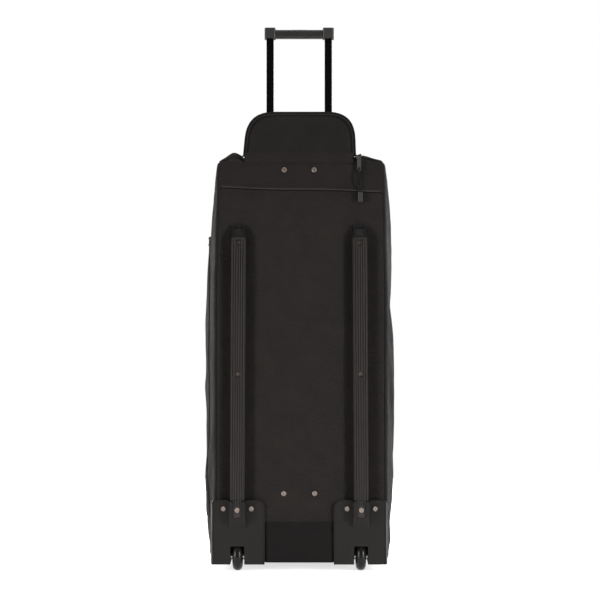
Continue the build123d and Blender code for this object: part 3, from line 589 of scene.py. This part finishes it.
def route(corners, radius=0.0, step=0.006, closed=False):
    """Evenly spaced points along straight runs with rounded corners."""
    corners = [Vector(c) for c in corners]
    if closed:
        corners = [(corners[0] + corners[-1]) / 2] + corners + [(corners[0] + corners[-1]) / 2]
    dense = [corners[0]]
    for a, b, c in zip(corners, corners[1:], corners[2:]):
        if radius <= 0:
            dense.append(b)
            continue
        start, end = b + (a - b).normalized() * radius, b + (c - b).normalized() * radius
        for n in range(9):
            t = n / 8
            dense.append(start * (1 - t) ** 2 + b * (2 * t * (1 - t)) + end * t ** 2)
    dense.append(corners[-1])
    lengths = [0.0]
    for a, b in zip(dense, dense[1:]):
        lengths.append(lengths[-1] + (b - a).length)
    count = max(2, round(lengths[-1] / step))
    points = []
    for n in range(count if closed else count + 1):
        at = lengths[-1] * n / count
        k = min(max(1, np.searchsorted(lengths, at)), len(dense) - 1)
        share = (at - lengths[k - 1]) / max(lengths[k] - lengths[k - 1], 1e-9)
        points.append(dense[k - 1].lerp(dense[k], min(1.0, share)))
    return points


def frames_along(path, ups, closed=False):
    """A point, its across, its up and its along direction, for each point of a path."""
    count = len(path)
    found = []
    for n, (point, up) in enumerate(zip(path, ups)):
        ahead = path[(n + 1) % count] if closed or n + 1 < count else point
        behind = path[n - 1] if closed or n else point
        along = (ahead - behind).normalized()
        across = along.cross(up).normalized()
        found.append((point, across, across.cross(along), along))
    return found


def loft(sections, closed=False):
    """Verts and faces of closed sections joined in a row, with ends unless the row is closed."""
    size, count = len(sections[0]), len(sections)
    faces = []
    for n in range(count if closed else count - 1):
        for m in range(size):
            a, b = n * size + m, n * size + (m + 1) % size
            c, d = (n + 1) % count * size + (m + 1) % size, (n + 1) % count * size + m
            faces.append([a, b, c, d])
    if not closed:
        faces += [list(range(size))[::-1], [(count - 1) * size + m for m in range(size)]]
    return [point for section in sections for point in section], faces


def swept(path, ups, profile, closed=False):
    """A closed profile of (across, up) points carried along a path."""
    return loft([[point + across * a + up * b for a, b in profile]
                 for point, across, up, _ in frames_along(path, ups, closed)], closed)


def paced(path, ups, pitch, due=0.0):
    """Places at even distances along a path, with their across, up and along directions."""
    spaced = frames_along(path, ups)
    travelled = 0.0
    for (a, across, up, along), (b, *_) in zip(spaced, spaced[1:]):
        run = (b - a).length
        while due <= travelled + run:
            yield a + along * (due - travelled), across, up, along
            due += pitch
        travelled += run


TOOTH_WIDTH, TOOTH_LENGTH, TOOTH_HEIGHT = 0.0030, 0.0013, 0.0013
TOOTH_PITCH = 0.0024
TOOTH_CORNERS = ((-1, -1, 0), (1, -1, 0), (1, 1, 0), (-1, 1, 0),
                 (-0.8, -0.5, 1), (0.8, -0.5, 1), (0.8, 0.5, 1), (-0.8, 0.5, 1))
TOOTH_FACES = ((3, 2, 1, 0), (4, 5, 6, 7), (0, 1, 5, 4), (1, 2, 6, 5), (2, 3, 7, 6), (3, 0, 4, 7))


def teeth(path, ups, across_at):
    """A row of zip teeth as small slanted blocks beside a path."""
    verts, faces = [], []
    for centre, across, up, along in paced(path, ups, TOOTH_PITCH):
        centre = centre + across * across_at
        faces += [[len(verts) + k for k in quad] for quad in TOOTH_FACES]
        for du, dv, dw in TOOTH_CORNERS:
            slant = du * 0.25 * TOOTH_LENGTH
            verts.append(centre + across * du * TOOTH_WIDTH / 2 + along * (dv * TOOTH_LENGTH / 2 + slant)
                         + up * dw * TOOTH_HEIGHT)
    return verts, faces


STITCH_LENGTH, STITCH_GAP, STITCH_R = 0.0030, 0.0012, 0.00035


def stitch_row(path, ups):
    """A row of raised stitches along a path."""
    verts, faces = [], []
    for centre, across, up, along in paced(path, ups, STITCH_LENGTH + STITCH_GAP, STITCH_GAP):
        first = len(verts)
        verts += [centre - along * STITCH_LENGTH / 2, centre + along * STITCH_LENGTH / 2, centre + across * STITCH_R,
                  centre + up * STITCH_R * 1.5, centre - across * STITCH_R, centre - up * STITCH_R]
        for k in range(4):
            p, q = first + 2 + k, first + 2 + (k + 1) % 4
            faces += [[first, q, p], [first + 1, p, q]]
    return verts, faces


def gathered(name, parts, body, slot, *replaced):
    """One piece out of several (verts, faces, material) parts."""
    verts, faces, index, mats = [], [], [], []
    for part_verts, part_faces, mat in parts:
        if mat not in mats:
            mats.append(mat)
        faces += [[len(verts) + v for v in face] for face in part_faces]
        index += [mats.index(mat)] * len(part_faces)
        verts += part_verts
    obj = add_mesh(name, verts, faces, [MATS[m] for m in mats])
    obj.data.polygons.foreach_set("material_index", index)
    mesh = bmesh.new()
    mesh.from_mesh(obj.data)
    bmesh.ops.recalc_face_normals(mesh, faces=mesh.faces)
    mesh.to_mesh(obj.data)
    mesh.free()
    if body:
        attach(obj, body)
    if replaced:
        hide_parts(*replaced)
    return obj


def grid_faces(n, m):
    """Faces of a grid of m rows with n points each."""
    return [[r * n + c, r * n + c + 1, (r + 1) * n + c + 1, (r + 1) * n + c]
            for r in range(m - 1) for c in range(n - 1)]


def rounded(low, high, radius, step):
    """Outline of a rectangle with rounded corners, between two points of a plane."""
    corners = [(low[0], low[1], 0), (high[0], low[1], 0), (high[0], high[1], 0), (low[0], high[1], 0)]
    return [Vector((p.x, p.y)) for p in route(corners, radius, step, closed=True)]


PILLOW_RINGS = (1.0, 0.99, 0.97, 0.94, 0.9, 0.82, 0.7, 0.56, 0.42, 0.28, 0.14)


def pillow(outline, place_point):
    """A closed stuffed form: an outline filled with rings on both sides."""
    centre = sum(outline, Vector((0, 0))) / len(outline)
    verts, faces = [], []
    n, rows = len(outline), len(PILLOW_RINGS)
    for side in (1, -1):
        first = len(verts)
        for share in PILLOW_RINGS:
            verts += [place_point(centre + (p - centre) * share, share, side) for p in outline]
        verts.append(place_point(centre, 0.0, side))
        for r in range(rows - 1):
            for m in range(n):
                a, b = first + r * n + m, first + r * n + (m + 1) % n
                faces.append([a, b, b + n, a + n][::side])
        last = first + (rows - 1) * n
        faces += [[last + m, last + (m + 1) % n, first + rows * n][::side] for m in range(n)]
    other = rows * n + 1
    faces += [[(m + 1) % n, m, other + m, other + (m + 1) % n] for m in range(n)]
    return verts, faces


def grid_sheet(us, vs, point):
    """Verts and faces of an open sheet over two lists of positions."""
    return [point(u, v) for v in vs for u in us], grid_faces(len(us), len(vs))


def even(low, high, step):
    return list(np.linspace(low, high, max(2, round((high - low) / step) + 1)))


# ---- what is sewn on the panels ----
back_tree = surface_tree(back_cloth)
left_tree = surface_tree(left_cloth)
top_tree = surface_tree(top_cloth)
front_tree = surface_tree(rim_cloth, lid_cloth)
INTO_BACK, INTO_TOP, INTO_FRONT, INTO_LEFT = (0, 1, 0), (0, 0, -1), (0, -1, 0), (1, 0, 0)
LEFT_X = -0.18           # about where the left side stands
TAPE_T = 0.0008
all_stitches = []


def sew(path, ups):
    """A row of stitches for the bag's stitching piece."""
    all_stitches.append((*stitch_row([p + u * 0.0002 for p, u in zip(path, ups)], ups), "thread"))


def sew_back(tree, us, height):
    sew(*laid(tree, [(x, BACK, height(x)) for x in us], INTO_BACK))


BAND_LEFT_Z, BAND_RIGHT_Z = 0.7205, 0.7130     # the top band was sewn on a little askew
BAND_ENDS = (-0.1500, 0.1562)
BAND_LIFT = 0.0010
BAND_ROWS = (0.0, 0.012, 0.03, 0.06, 0.14, 0.3, 0.5, 0.7, 0.9, 0.97, 1.0)


def band_low(x):
    share = (x - BAND_ENDS[0]) / (BAND_ENDS[1] - BAND_ENDS[0])
    return BAND_LEFT_Z + (BAND_RIGHT_Z - BAND_LEFT_Z) * share + 0.0008 * math.sin(x * 31)


def band_sheet(us, low, high):
    """Cloth laid on the back panel, with a folded lower edge."""
    front, back = [], []
    for share in BAND_ROWS:
        points = [(x, BACK, low(x) + (high - low(x)) * share) for x in us]
        fold = 0.0024 * math.exp(-((share - 0.05) / 0.06) ** 2)
        places, _ = laid(back_tree, points, INTO_BACK)
        front += [Vector((p.x, p.y - BAND_LIFT - fold - 0.0006 * fbm(p, (18, 18, 24), 8), q[2]))
                  for p, q in zip(places, points)]
        back += [Vector((p.x, p.y + 0.0006, q[2])) for p, q in zip(places, points)]
    n, m = len(us), len(BAND_ROWS)
    size = n * m
    rim = [c for c in range(n)] + [r * n + n - 1 for r in range(1, m)]
    rim += [(m - 1) * n + c for c in range(n - 2, -1, -1)] + [r * n for r in range(m - 2, 0, -1)]
    faces = grid_faces(n, m) + [[a, size + a, size + b, b] for a, b in zip(rim, rim[1:] + rim[:1])]
    return front + back, faces


band_us = even(*BAND_ENDS, 0.008)
band = gathered("top_band_cloth", [(*band_sheet(band_us, band_low, TOP - 0.0022), "smooth")], "bag", "smooth_fabric",
                "top_band")
subdivide(band)
# The band's folded lower edge is a paler cord: a painted highlight where the fold catches light from above.
edge_path, edge_ups = laid(surface_tree(band), [(x, BACK, band_low(x) + 0.0012) for x in band_us], INTO_BACK)
EDGE_FOLD = [(-0.0013, -0.0008), (-0.0010, 0.0007), (0.0, 0.0013), (0.0010, 0.0007), (0.0013, -0.0008)]
# a thin strip of the near-black tape cloth under the fold: painted shadow beneath the band's edge
shade_path, shade_ups = laid(back_tree, [(x, BACK, band_low(x) - 0.0011) for x in band_us], INTO_BACK)
EDGE_SHADE = [(-0.0010, -0.0006), (-0.0010, 0.0002), (0.0010, 0.0002), (0.0010, -0.0006)]
gathered("top_band_edge", [(*swept(edge_path, edge_ups, EDGE_FOLD), "worn_fold"),
                           (*swept(shade_path, shade_ups, EDGE_SHADE), "tape")], "bag", "smooth_fabric")
BASE_HALF, BASE_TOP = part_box("base_band")[1].x - 0.0004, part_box("base_band")[1].z
lower = gathered("base_band_cloth", [(*band_sheet(even(-BASE_HALF, BASE_HALF, 0.008), lambda x: LOW + 0.0008, BASE_TOP),
                                      "base_band")], "bag", "smooth_fabric", "base_band")
subdivide(lower)
band_tree = surface_tree(band, lower)
for gap in (0.0045, 0.0095):
    sew_back(band_tree, even(BAND_ENDS[0] + 0.003, BAND_ENDS[1] - 0.003, 0.006), lambda x: band_low(x) + gap)
for gap in (0.0025, 0.0065):
    sew_back(band_tree, even(-BASE_HALF, BASE_HALF, 0.006), lambda x: BASE_TOP - gap)
LAID_CORD = [(-0.0012, -0.0004), (-0.0006, 0.0006), (0.0006, 0.0006), (0.0012, -0.0004)]
welts = []
for gap in (0.0045, 0.010):
    line = laid(band_tree, [(x, BACK, BASE_TOP - gap) for x in even(-BASE_HALF, BASE_HALF, 0.008)], INTO_BACK)
    welts.append((*swept(*line, LAID_CORD), "base_band"))
gathered("base_band_welts", welts, "bag", "smooth_fabric")

# stitches along the seams beside the back panel
for s in (1, -1):
    edge = [(s * (half_width(s, BACK, z) - 0.0085), BACK, z) for z in even(0.15, 0.705, 0.006)]
    sew(*laid(back_tree, edge, INTO_BACK))

# a near-black strip laid in the seams beside the back panel: painted shadow for the shade in the seams' gap
SEAM_SHADOW_PROFILE = [(-0.0024, -0.0012), (-0.0020, 0.0004), (-0.0008, 0.0011), (0.0008, 0.0011), (0.0020, 0.0004),
           (0.0024, -0.0012)]
nx, ny, nz = len(COLUMNS), len(Y_LINES), len(Z_LINES)
seam_shadow_strips = []
for i, s in ((0, -1), (nx - 1, 1)):
    outward = Vector((s, -1, 0)).normalized()
    seam = [shell_verts[shell_index[i, 0, k]] + outward * (BACK_GROOVE - 0.0010) for k in range(3, nz - 3)]
    seam_shadow_strips.append((*swept(seam, [outward] * len(seam), SEAM_SHADOW_PROFILE), "tape"))
gathered("back_seam_painted_shadow", seam_shadow_strips, "bag", "smooth_fabric")

# piping round the lid side
PIPE_R = 0.0024
PIPE = [(PIPE_R * math.cos(a), 0.0012 + PIPE_R * math.sin(a)) for a in np.linspace(0, 2 * math.pi, 9)[:-1]]
ring = [(i, 0) for i in range(nx)] + [(nx - 1, k) for k in range(1, nz)]
ring += [(i, nz - 1) for i in range(nx - 2, -1, -1)] + [(0, k) for k in range(nz - 2, 0, -1)]
piping_path = [shell_verts[shell_index[i, ny - 1, k]] for i, k in ring]
piping_ups = [Vector(((i == nx - 1) - (i == 0), 0.8, (k == nz - 1) - (k == 0))).normalized() for i, k in ring]
gathered("front_piping", [(*swept(piping_path, piping_ups, PIPE, closed=True), "smooth")], "bag", "smooth_fabric")

# flat pocket on the left side
PATCH_MARGIN = 0.001
patch_ys = even(POCKET_LOW.y + PATCH_MARGIN, POCKET_HIGH.y - PATCH_MARGIN, 0.0095)
patch_zs = even(POCKET_LOW.z + PATCH_MARGIN, POCKET_HIGH.z, 0.0095)


def patch_point(y, z):
    (place, ), _ = laid(left_tree, [(LEFT_X, y, z)], INTO_LEFT)
    side = min(y - patch_ys[0], patch_ys[-1] - y, z - patch_zs[0])
    loose = 1 - math.exp(-side / 0.006)
    mouth = max(0.0, 1 - (patch_zs[-1] - z) / 0.05)
    gape = 0.0014 * mouth * math.cos(y / 0.095 * math.pi / 2)
    out = 0.0008 + 0.0028 * loose + gape + 0.0009 * loose * fbm(place, (14, 14, 12), 11)
    return Vector((place.x - out, y, z))


patch = gathered("side_pocket_cloth", [(*grid_sheet(patch_ys, patch_zs, patch_point), "side")], "bag",
                 "ripstop_fabric", "side_pocket")
subdivide(patch)
thicken(patch, 0.0012)
patch_tree = surface_tree(patch, left_cloth)
hem_path, hem_ups = laid(patch_tree, [(LEFT_X, y, patch_zs[-1] - 0.009) for y in patch_ys], INTO_LEFT)
HEM = [(-0.0098, -0.0012), (-0.0098, 0.0001), (-0.0088, 0.0005), (0.0078, 0.0005), (0.0085, 0.0001),
       (0.0085, -0.0008)]
gathered("side_pocket_hem", [(*swept(hem_path, hem_ups, HEM), "side")], "bag", "ripstop_fabric")
for gap in (0.0025, 0.0155):
    sew(*laid(patch_tree, [(LEFT_X, y, patch_zs[-1] - gap) for y in patch_ys], INTO_LEFT, 0.0012))
seam_line = [(patch_ys[0] + 0.003, z) for z in reversed(patch_zs)] + [(y, patch_zs[0] + 0.003) for y in patch_ys[1:-1]]
seam_line += [(patch_ys[-1] - 0.003, z) for z in patch_zs]
sew(*laid(patch_tree, [(LEFT_X, y, z) for y, z in seam_line], INTO_LEFT))

# webbing grab handle: tabs that lie on the top, and a low arch between them
GRAB_LOW, GRAB_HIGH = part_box("top_grab_handle")
GRAB_Y = (GRAB_LOW.y + GRAB_HIGH.y) / 2
GRAB_ARCH = 0.062
grab_xs = even(GRAB_LOW.x, GRAB_HIGH.x, 0.006)
grab_path, _ = laid(top_tree, [(x, GRAB_Y, TOP) for x in grab_xs], INTO_TOP, 0.0006)
STRAP_T = 0.0022
for point in grab_path:
    if abs(point.x) < GRAB_ARCH:
        rise = math.cos(math.pi * point.x / (2 * GRAB_ARCH)) ** 1.4
        point.z += (GRAB_HIGH.z - STRAP_T - point.z) * rise
half = (GRAB_HIGH.y - GRAB_LOW.y) / 2
STRAP = [(-half, 0.0003), (-half + 0.0006, 0), (half - 0.0006, 0), (half, 0.0003), (half, 0.0018),
         (half - 0.0008, STRAP_T), (-half + 0.0008, STRAP_T), (-half, 0.0018)]
gathered("grab_handle_webbing", [(*swept(grab_path, [Vector((0, 0, 1))] * len(grab_path), STRAP), "webbing")],
         "bag", "webbing", "top_grab_handle")
for s in (1, -1):
    x0, x1 = s * (GRAB_ARCH + 0.005), s * (GRAB_HIGH.x - 0.003)
    y0, y1 = GRAB_LOW.y + 0.003, GRAB_HIGH.y - 0.003
    for corners in ([(x0, y0), (x1, y0), (x1, y1), (x0, y1), (x0, y0)], [(x0, y0), (x1, y1)], [(x0, y1), (x1, y0)]):
        sew(*laid(top_tree, route([(x, y, TOP) for x, y in corners], step=0.005), INTO_TOP, 0.0030))


# ---- zips ----
COIL_AT = 0.0016         # the teeth stand this far from the zip's middle


def zip_parts(path, ups, inner, outer, coil_at=-COIL_AT):
    """A tape between two distances beside a path, with its coil."""
    low, high = sorted((inner, outer))
    tape = [(low, -0.0004), (high, -0.0004), (high, TAPE_T), (low, TAPE_T)]
    lifted = [p + u * TAPE_T for p, u in zip(path, ups)]
    return [(*swept(path, ups, tape), "tape"), (*teeth(lifted, ups, coil_at), "coil")]


def lid_zip_path(grow):
    """Round the three open sides of the lid, and flat, as the sliders pass over it."""
    x, hinge = LID_HIGH.x + grow, -LID_HIGH.x + 0.008
    high, low = LID_HIGH.z + grow, LID_LOW.z - grow
    corners = [(hinge, FRONT, high), (x, FRONT, high), (x, FRONT, low), (hinge, FRONT, low)]
    places, _ = laid(front_tree, route(corners, step=0.008), INTO_FRONT, 0.0004)
    for point in places:
        point.y = min(point.y, FRONT + 0.0001)
    return places, [Vector((0, 1, 0))] * len(places)


gathered("lid_zip_half", zip_parts(*lid_zip_path(-0.0004), -0.0002, -0.0118), "lid", "zip_tape", "lid_zip_tape")
gathered("rim_zip_half", zip_parts(*lid_zip_path(0.0004), 0.0002, 0.0110, COIL_AT), "bag", "zip_tape", "rim_zip_tape")

WELL_ZIP_X = 0.1066
WELL_ZIP_YS = (BACK + 0.0095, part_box("well_zip_tape")[1].y - 0.011)
well_route = route([(s * WELL_ZIP_X, WELL_ZIP_YS[far], TOP) for s, far in ((-1, 0), (-1, 1), (1, 1), (1, 0))],
                   radius=0.030)
gathered("well_zip_half", zip_parts(*laid(top_tree, well_route, INTO_TOP, 0.0004), -0.0002, -0.0110),
         "bag", "zip_tape", "well_zip_tape")

# ---- accessory pocket on the lid ----
PILLOW_LOW, PILLOW_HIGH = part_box("lid_pocket")
pocket_outline = rounded(PILLOW_LOW.xz, PILLOW_HIGH.xz, 0.022, 0.009)
POCKET_DEPTH = PILLOW_HIGH.y - FRONT


def pocket_point(at, share, side):
    if side < 0:
        return Vector((at.x, FRONT + 0.0004, at.y))
    crown = (1 - share ** 7) ** 0.45 if share < 1 else 0.02
    puff = 0.0010 * (1 - share ** 2) * (1 if at.y < 0.62 else 0.2)
    place = Vector((at.x, FRONT + 0.0008 + (POCKET_DEPTH - 0.0016) * crown + puff, at.y))
    place.y += 0.0010 * crown * fbm(place, (16, 16, 13), 14)
    return place


pocket = gathered("lid_pocket_cloth", [(*pillow(pocket_outline, pocket_point), "back")], "lid", "ripstop_fabric",
                  "lid_pocket")
subdivide(pocket)
POCKET_ZIP_LOW, POCKET_ZIP_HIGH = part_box("pocket_zip_tape")
zip_z = (POCKET_ZIP_LOW.z + POCKET_ZIP_HIGH.z) / 2
zip_line = [(x, FRONT + 0.02, zip_z) for x in even(POCKET_ZIP_LOW.x, POCKET_ZIP_HIGH.x, 0.008)]
zip_places, _ = laid(surface_tree(pocket), zip_line, INTO_FRONT, 0.0002)
flat_ups = [Vector((0, 1, 0))] * len(zip_places)
pocket_zip = zip_parts(zip_places, flat_ups, -0.0115, 0.0115, COIL_AT)
pocket_zip.append((*teeth([p + Vector((0, TAPE_T, 0)) for p in zip_places], flat_ups, -COIL_AT), "coil"))
gathered("pocket_zip", pocket_zip, "lid", "zip_tape", "pocket_zip_tape")

# ---- handle flap ----
FLAP_MID_Y = (FLAP_LOW.y + FLAP_HIGH.y) / 2
PANEL_LOW, PANEL_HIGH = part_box("flap_panel")


def flap_corners(inset, foot):
    half, top = FLAP_HIGH.x - inset, FLAP_HIGH.z - inset + 0.0016
    return [(-half, FLAP_MID_Y, foot), (-half + 0.0080, FLAP_MID_Y, top), (half - 0.002, FLAP_MID_Y, top),
            (half + 0.0012, FLAP_MID_Y, foot)]


FLAP_SEAM = 0.0085
flap_foot = PANEL_LOW.z
open_line = route(flap_corners(FLAP_SEAM, flap_foot), radius=0.045, step=0.005)
foot_line = [Vector((x, FLAP_MID_Y, flap_foot)) for x in np.linspace(open_line[-1].x, open_line[0].x, 26)[1:-1]]
flap_outline = [Vector((p.x, p.z)) for p in open_line + foot_line]


def flap_point(at, share, side):
    half = 0.0005 if share >= 1 else 0.0028 * (1 - share ** 14) ** 0.5 + 0.0003
    place = Vector((at.x, FLAP_MID_Y - side * half, at.y))
    loose = 1 - share ** 6
    dimple = 0.0016 * fbm(place, (17, 17, 22), 21, 2) - 0.0022 * math.exp(
        -((at.x - 0.018) / 0.022) ** 2 - ((at.y - 0.822) / 0.012) ** 2)
    place.y -= dimple * loose
    return place


subdivide(gathered("flap_cloth", [(*pillow(flap_outline, flap_point), "flap")], "handle_flap", "smooth_fabric",
                   "flap_panel"))
border_path = route(flap_corners(0.0, FLAP_LOW.z), radius=0.050, step=0.005)
border_ups = [Vector((0, -1, 0))] * len(border_path)
W = FLAP_SEAM
border = [(0.0, 0.0), (0.0003, 0.0011), (0.0018, 0.0017), (0.0034, 0.0013), (W - 0.0020, 0.0012), (W - 0.0006, 0.0005),
          (W + 0.0035, 0.0004), (W + 0.0035, -0.0004), (W - 0.0006, -0.0006), (0.0034, -0.0013), (0.0018, -0.0017),
          (0.0003, -0.0011)]
coil_path = [p + Vector((0, 0.0013, 0)) for p in border_path]
WELT = [(0.0040, 0.0006), (0.0043, 0.0019), (0.0054, 0.0023), (0.0064, 0.0018), (0.0066, 0.0006)]
gathered("flap_border", [(*swept(border_path, border_ups, border), "tape"),
                         (*swept(border_path, border_ups, WELT), "welt"),
                         (*teeth(coil_path, [-u for u in border_ups], -0.0014), "coil")],
         "handle_flap", "zip_tape", "flap_zip_tape")
seam_path = [p + Vector((0, -0.0012, 0)) for p in route(flap_corners(0.0052, FLAP_LOW.z), radius=0.047, step=0.005)]
gathered("flap_stitching", [(*stitch_row(seam_path, border_ups[:1] * len(seam_path)), "thread")], "handle_flap",
         "zip_tape")

# the fold where the flap is sewn to the bag's back edge
FOLD_HALF = PANEL_HIGH.x + 0.006
FOLD_T = 0.0010
FOLD_ROWS = [(-0.0014, -0.0065), (-0.0019, -0.0030), (-0.0020, 0.0005), (-0.0014, 0.0040), (-0.0006, 0.0075),
             (0.0000, 0.0105), (0.0008, 0.0135)]


def fold_column(x):
    """The fold's closed section at one place along the hinge."""
    line = [Vector((x, BACK + y + 0.0004 * fbm(Vector((x, y, z)), (25, 25, 60), 31), TOP + z)) for y, z in FOLD_ROWS]
    return line + [p + Vector((0, FOLD_T, 0)) for p in reversed(line)]


fold = gathered("flap_fold", [(*loft([fold_column(x) for x in even(-FOLD_HALF, FOLD_HALF, 0.006)]), "smooth")], None,
                "smooth_fabric")
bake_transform(fold)

# ---- ball cradles, bay dividers and lining inside ----
CRADLE_LOW, CRADLE_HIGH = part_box("ball_cradles")
BALL_R = 0.110
CRADLE_HALF = CRADLE_HIGH.x
bay = CRADLE_HIGH.z - CRADLE_HALF - (CRADLE_LOW.z + CRADLE_HALF)
for n, label in enumerate(("lower", "middle", "upper")):
    mid = CRADLE_LOW.z + CRADLE_HALF + bay * n / 2
    outline = rounded((-CRADLE_HALF, mid - CRADLE_HALF), (CRADLE_HALF, mid + CRADLE_HALF), 0.034, 0.012)

    def cradle_point(at, share, side):
        if side < 0:
            return Vector((at.x, CRADLE_LOW.y + 0.0004, at.y))
        depth = CRADLE_HIGH.y - CRADLE_LOW.y
        crown = (1 - share ** 9) ** 0.5 if share < 1 else 0.04
        off = math.hypot(at.x, at.y - mid)
        sunk = BALL_R - math.sqrt(BALL_R ** 2 - off ** 2) if off < BALL_R else 1.0
        ball_y = CRADLE_HIGH.y - 0.014 + sunk
        skin = min(CRADLE_LOW.y + 0.0006 + (depth - 0.0012) * crown, ball_y)
        return Vector((at.x, skin + 0.0004 * fbm(Vector((at.x, 0, at.y)), (30, 30, 30), 40 + n), at.y))

    pad = gathered(f"cradle_pad_{label}", [(*pillow(outline, cradle_point), "foam")], "bag", "cradle_foam",
                   "ball_cradles")
    subdivide(pad)

DIVIDER_LOW, DIVIDER_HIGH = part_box("bay_dividers")
DIVIDER_T = 0.008
for label, z in (("lower", DIVIDER_LOW.z + DIVIDER_T / 2), ("upper", DIVIDER_HIGH.z - DIVIDER_T / 2)):
    outline = rounded(DIVIDER_LOW.xy, DIVIDER_HIGH.xy, 0.012, 0.012)

    def divider_point(at, share, side):
        half = 0.0006 if share >= 1 else 0.0036 * (1 - share ** 12) ** 0.5 + 0.0002
        return Vector((at.x, at.y, z + side * (half + 0.0003 * fbm(Vector((at.x, at.y, z)), (22, 22, 22), 50))))

    pad = gathered(f"bay_divider_{label}", [(*pillow(outline, divider_point), "foam")], "bag", "lining_fabric",
                   "bay_dividers")
    subdivide(pad)

LINING_LOW, LINING_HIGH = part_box("lining_panel")
lining_y = (LINING_LOW.y + LINING_HIGH.y) / 2
lining = gathered("lining_cloth", [(*grid_sheet(
    even(LINING_LOW.x, LINING_HIGH.x, 0.014), even(LINING_LOW.z, LINING_HIGH.z, 0.014),
    lambda x, z: Vector((x, lining_y - 0.0003 + 0.0004 * fbm(Vector((x, 0, z)), (20, 20, 12), 60), z))), "lining")],
    "bag", "lining_fabric", "lining_panel")
thicken(lining, 0.0009)
subdivide(lining)

# ---- the flap's pull: a loop of cord through the tab's eye ----
CORD_ROUTE = [(0.1126, -0.1562, 0.7120), (0.1089, -0.1566, 0.7260), (0.1082, -0.1576, 0.7420),
              (0.1120, -0.1583, 0.7565), (0.1120, -0.1527, 0.7565), (0.1127, -0.1529, 0.7420),
              (0.1132, -0.1546, 0.7260), (0.1154, -0.1562, 0.7120)]
CORD_R = 0.0012
curve = bpy.data.curves.new("flap_pull_loop", "CURVE")
curve.dimensions = "3D"
spline = curve.splines.new("NURBS")
spline.points.add(len(CORD_ROUTE) - 1)
for point, place in zip(spline.points, CORD_ROUTE):
    point.co = (*place, 1.0)
spline.order_u = 3
spline.use_endpoint_u = True
curve.resolution_u = 12
curve.bevel_depth = CORD_R
curve.bevel_resolution = 4
curve.use_fill_caps = True
curve.materials.append(MATS["cord"])
loop = bpy.data.objects.new("flap_pull_loop", curve)
SCENE.collection.objects.link(loop)
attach(loop, "flap_pull")
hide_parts("flap_pull_cord")
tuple(CORD_ROUTE[0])

gathered("bag_stitching", all_stitches, "bag", "ripstop_fabric")

# ---- CAD nodes that keep their shape and get a finish ----
FINISHES = {
    "housing": "wheel_housing_left wheel_housing_right",
    "rail": "skid_rail_left skid_rail_right",
    "board": "base_board",
    "frame": "trolley_bezel trolley_bracket handle_well_tray tube_glides",
    "grip": "grip_bar release_button",
    "cap": "corner_cap_left corner_cap_right",
    "foot": "front_feet",
    "tyre": "wheel_tyre_left wheel_tyre_right",
    "hub": "wheel_hub_left wheel_hub_right",
    "tube": "inner_tube_left inner_tube_right outer_tube_left outer_tube_right",
    "zinc": "axles wheel_spacers release_linkage",
    "rivet": "frame_rivets skid_rivets",
    "steel": "wheel_bearings_left wheel_bearings_right",
    "zip_metal": "flap_slider lid_slider_upper lid_slider_lower pocket_slider",
    "pull": "flap_pull_tab lid_pull_upper lid_pull_lower pocket_pull",
    "pull_end": "flap_pull_end",
}
for finish, names in FINISHES.items():
    for name in names.split():
        NODES[name].data.materials.clear()
        NODES[name].data.materials.append(MATS[finish])
for names, width, segments in ((FINISHES["housing"], 0.0011, 2),
                               (FINISHES["rail"] + " handle_well_tray trolley_bezel", 0.0006, 2),
                               ("inner_tube_left inner_tube_right", 0.0014, 3)):
    for name in names.split():
        soften(NODES[name], width, segments)

# ---- camera, floor and light ----
camera = bpy.data.objects.new("camera", bpy.data.cameras.new("camera"))
SCENE.collection.objects.link(camera)
SCENE.camera = camera
camera.data.lens = 80.0
camera.data.sensor_width = 36.0
CAMERA_GAP, CAMERA_HEIGHT = 2.5, 0.51
camera.location = (0.0015, BACK - CAMERA_GAP, CAMERA_HEIGHT)
camera.rotation_euler = (math.radians(90), 0, 0)

FLOOR_HALF = 1.15
FLOOR_DIM, FLOOR_FULL = 0.66, 1.0
floor_mat, floor_tree, floor_bsdf = new_material("studio_floor", grey(0.9), 0.7)
reach = floor_tree.add("VectorMath", "Value", {0: floor_tree.place()}, "LENGTH")
floor_tree.fill(floor_bsdf, {"Emission Color": floor_tree.carried(reach, 0.45, 1.0, FLOOR_DIM, FLOOR_FULL),
                             "Emission Strength": 1.0})
floor = add_mesh("studio_floor", [(x * FLOOR_HALF, y * FLOOR_HALF, 0) for x, y in ((-1, -1), (1, -1), (1, 1), (-1, 1))],
                 [[0, 1, 2, 3]], [floor_mat])

# The backdrop is white to the camera. The light it gives is full behind the bag and dim on the wheels' side.
SKY_DIM, SKY_FULL = 0.17, 1.0
SCENE.world = bpy.data.worlds.new("studio")
sky = Tree(SCENE.world)
glow = sky.carried(sky.axis(sky.add("TexCoord", "Generated", {}), "Y"), -0.1, 0.5, SKY_DIM, SKY_FULL)
seen = sky.math("MAXIMUM", glow, sky.add("LightPath", "Is Camera Ray", {}))
sky.fill(sky.nodes["Background"], {"Color": (1.0, 1.0, 1.0, 1.0), "Strength": seen})
SCENE.view_settings.view_transform = "Standard"


def softbox(name, place, aim, size, power):
    light = bpy.data.lights.new(name, "AREA")
    light.shape = "RECTANGLE"
    light.size, light.size_y = size
    light.energy = power
    obj = bpy.data.objects.new(name, light)
    SCENE.collection.objects.link(obj)
    obj.location = place
    obj.rotation_euler = (Vector(aim) - Vector(place)).to_track_quat("-Z", "Y").to_euler()
    obj.visible_camera = False


softbox("softbox_right", (2.5, -1.9, 1.0), (0, -0.1, 0.45), (0.5, 1.8), 150.0)
softbox("softbox_left", (-2.5, -1.7, 0.9), (0, -0.1, 0.45), (0.5, 1.8), 122.0)
softbox("softbox_behind_right", (1.2, 2.6, 1.3), (0, 0.1, 0.45), (0.8, 1.4), 60.0)
softbox("softbox_behind_left", (-1.6, 2.3, 1.3), (0, 0.1, 0.45), (0.8, 1.4), 50.0)
softbox("softbox_top", (0.3, -0.5, 2.8), (0, 0, 0.6), (1.4, 1.0), 30.0)
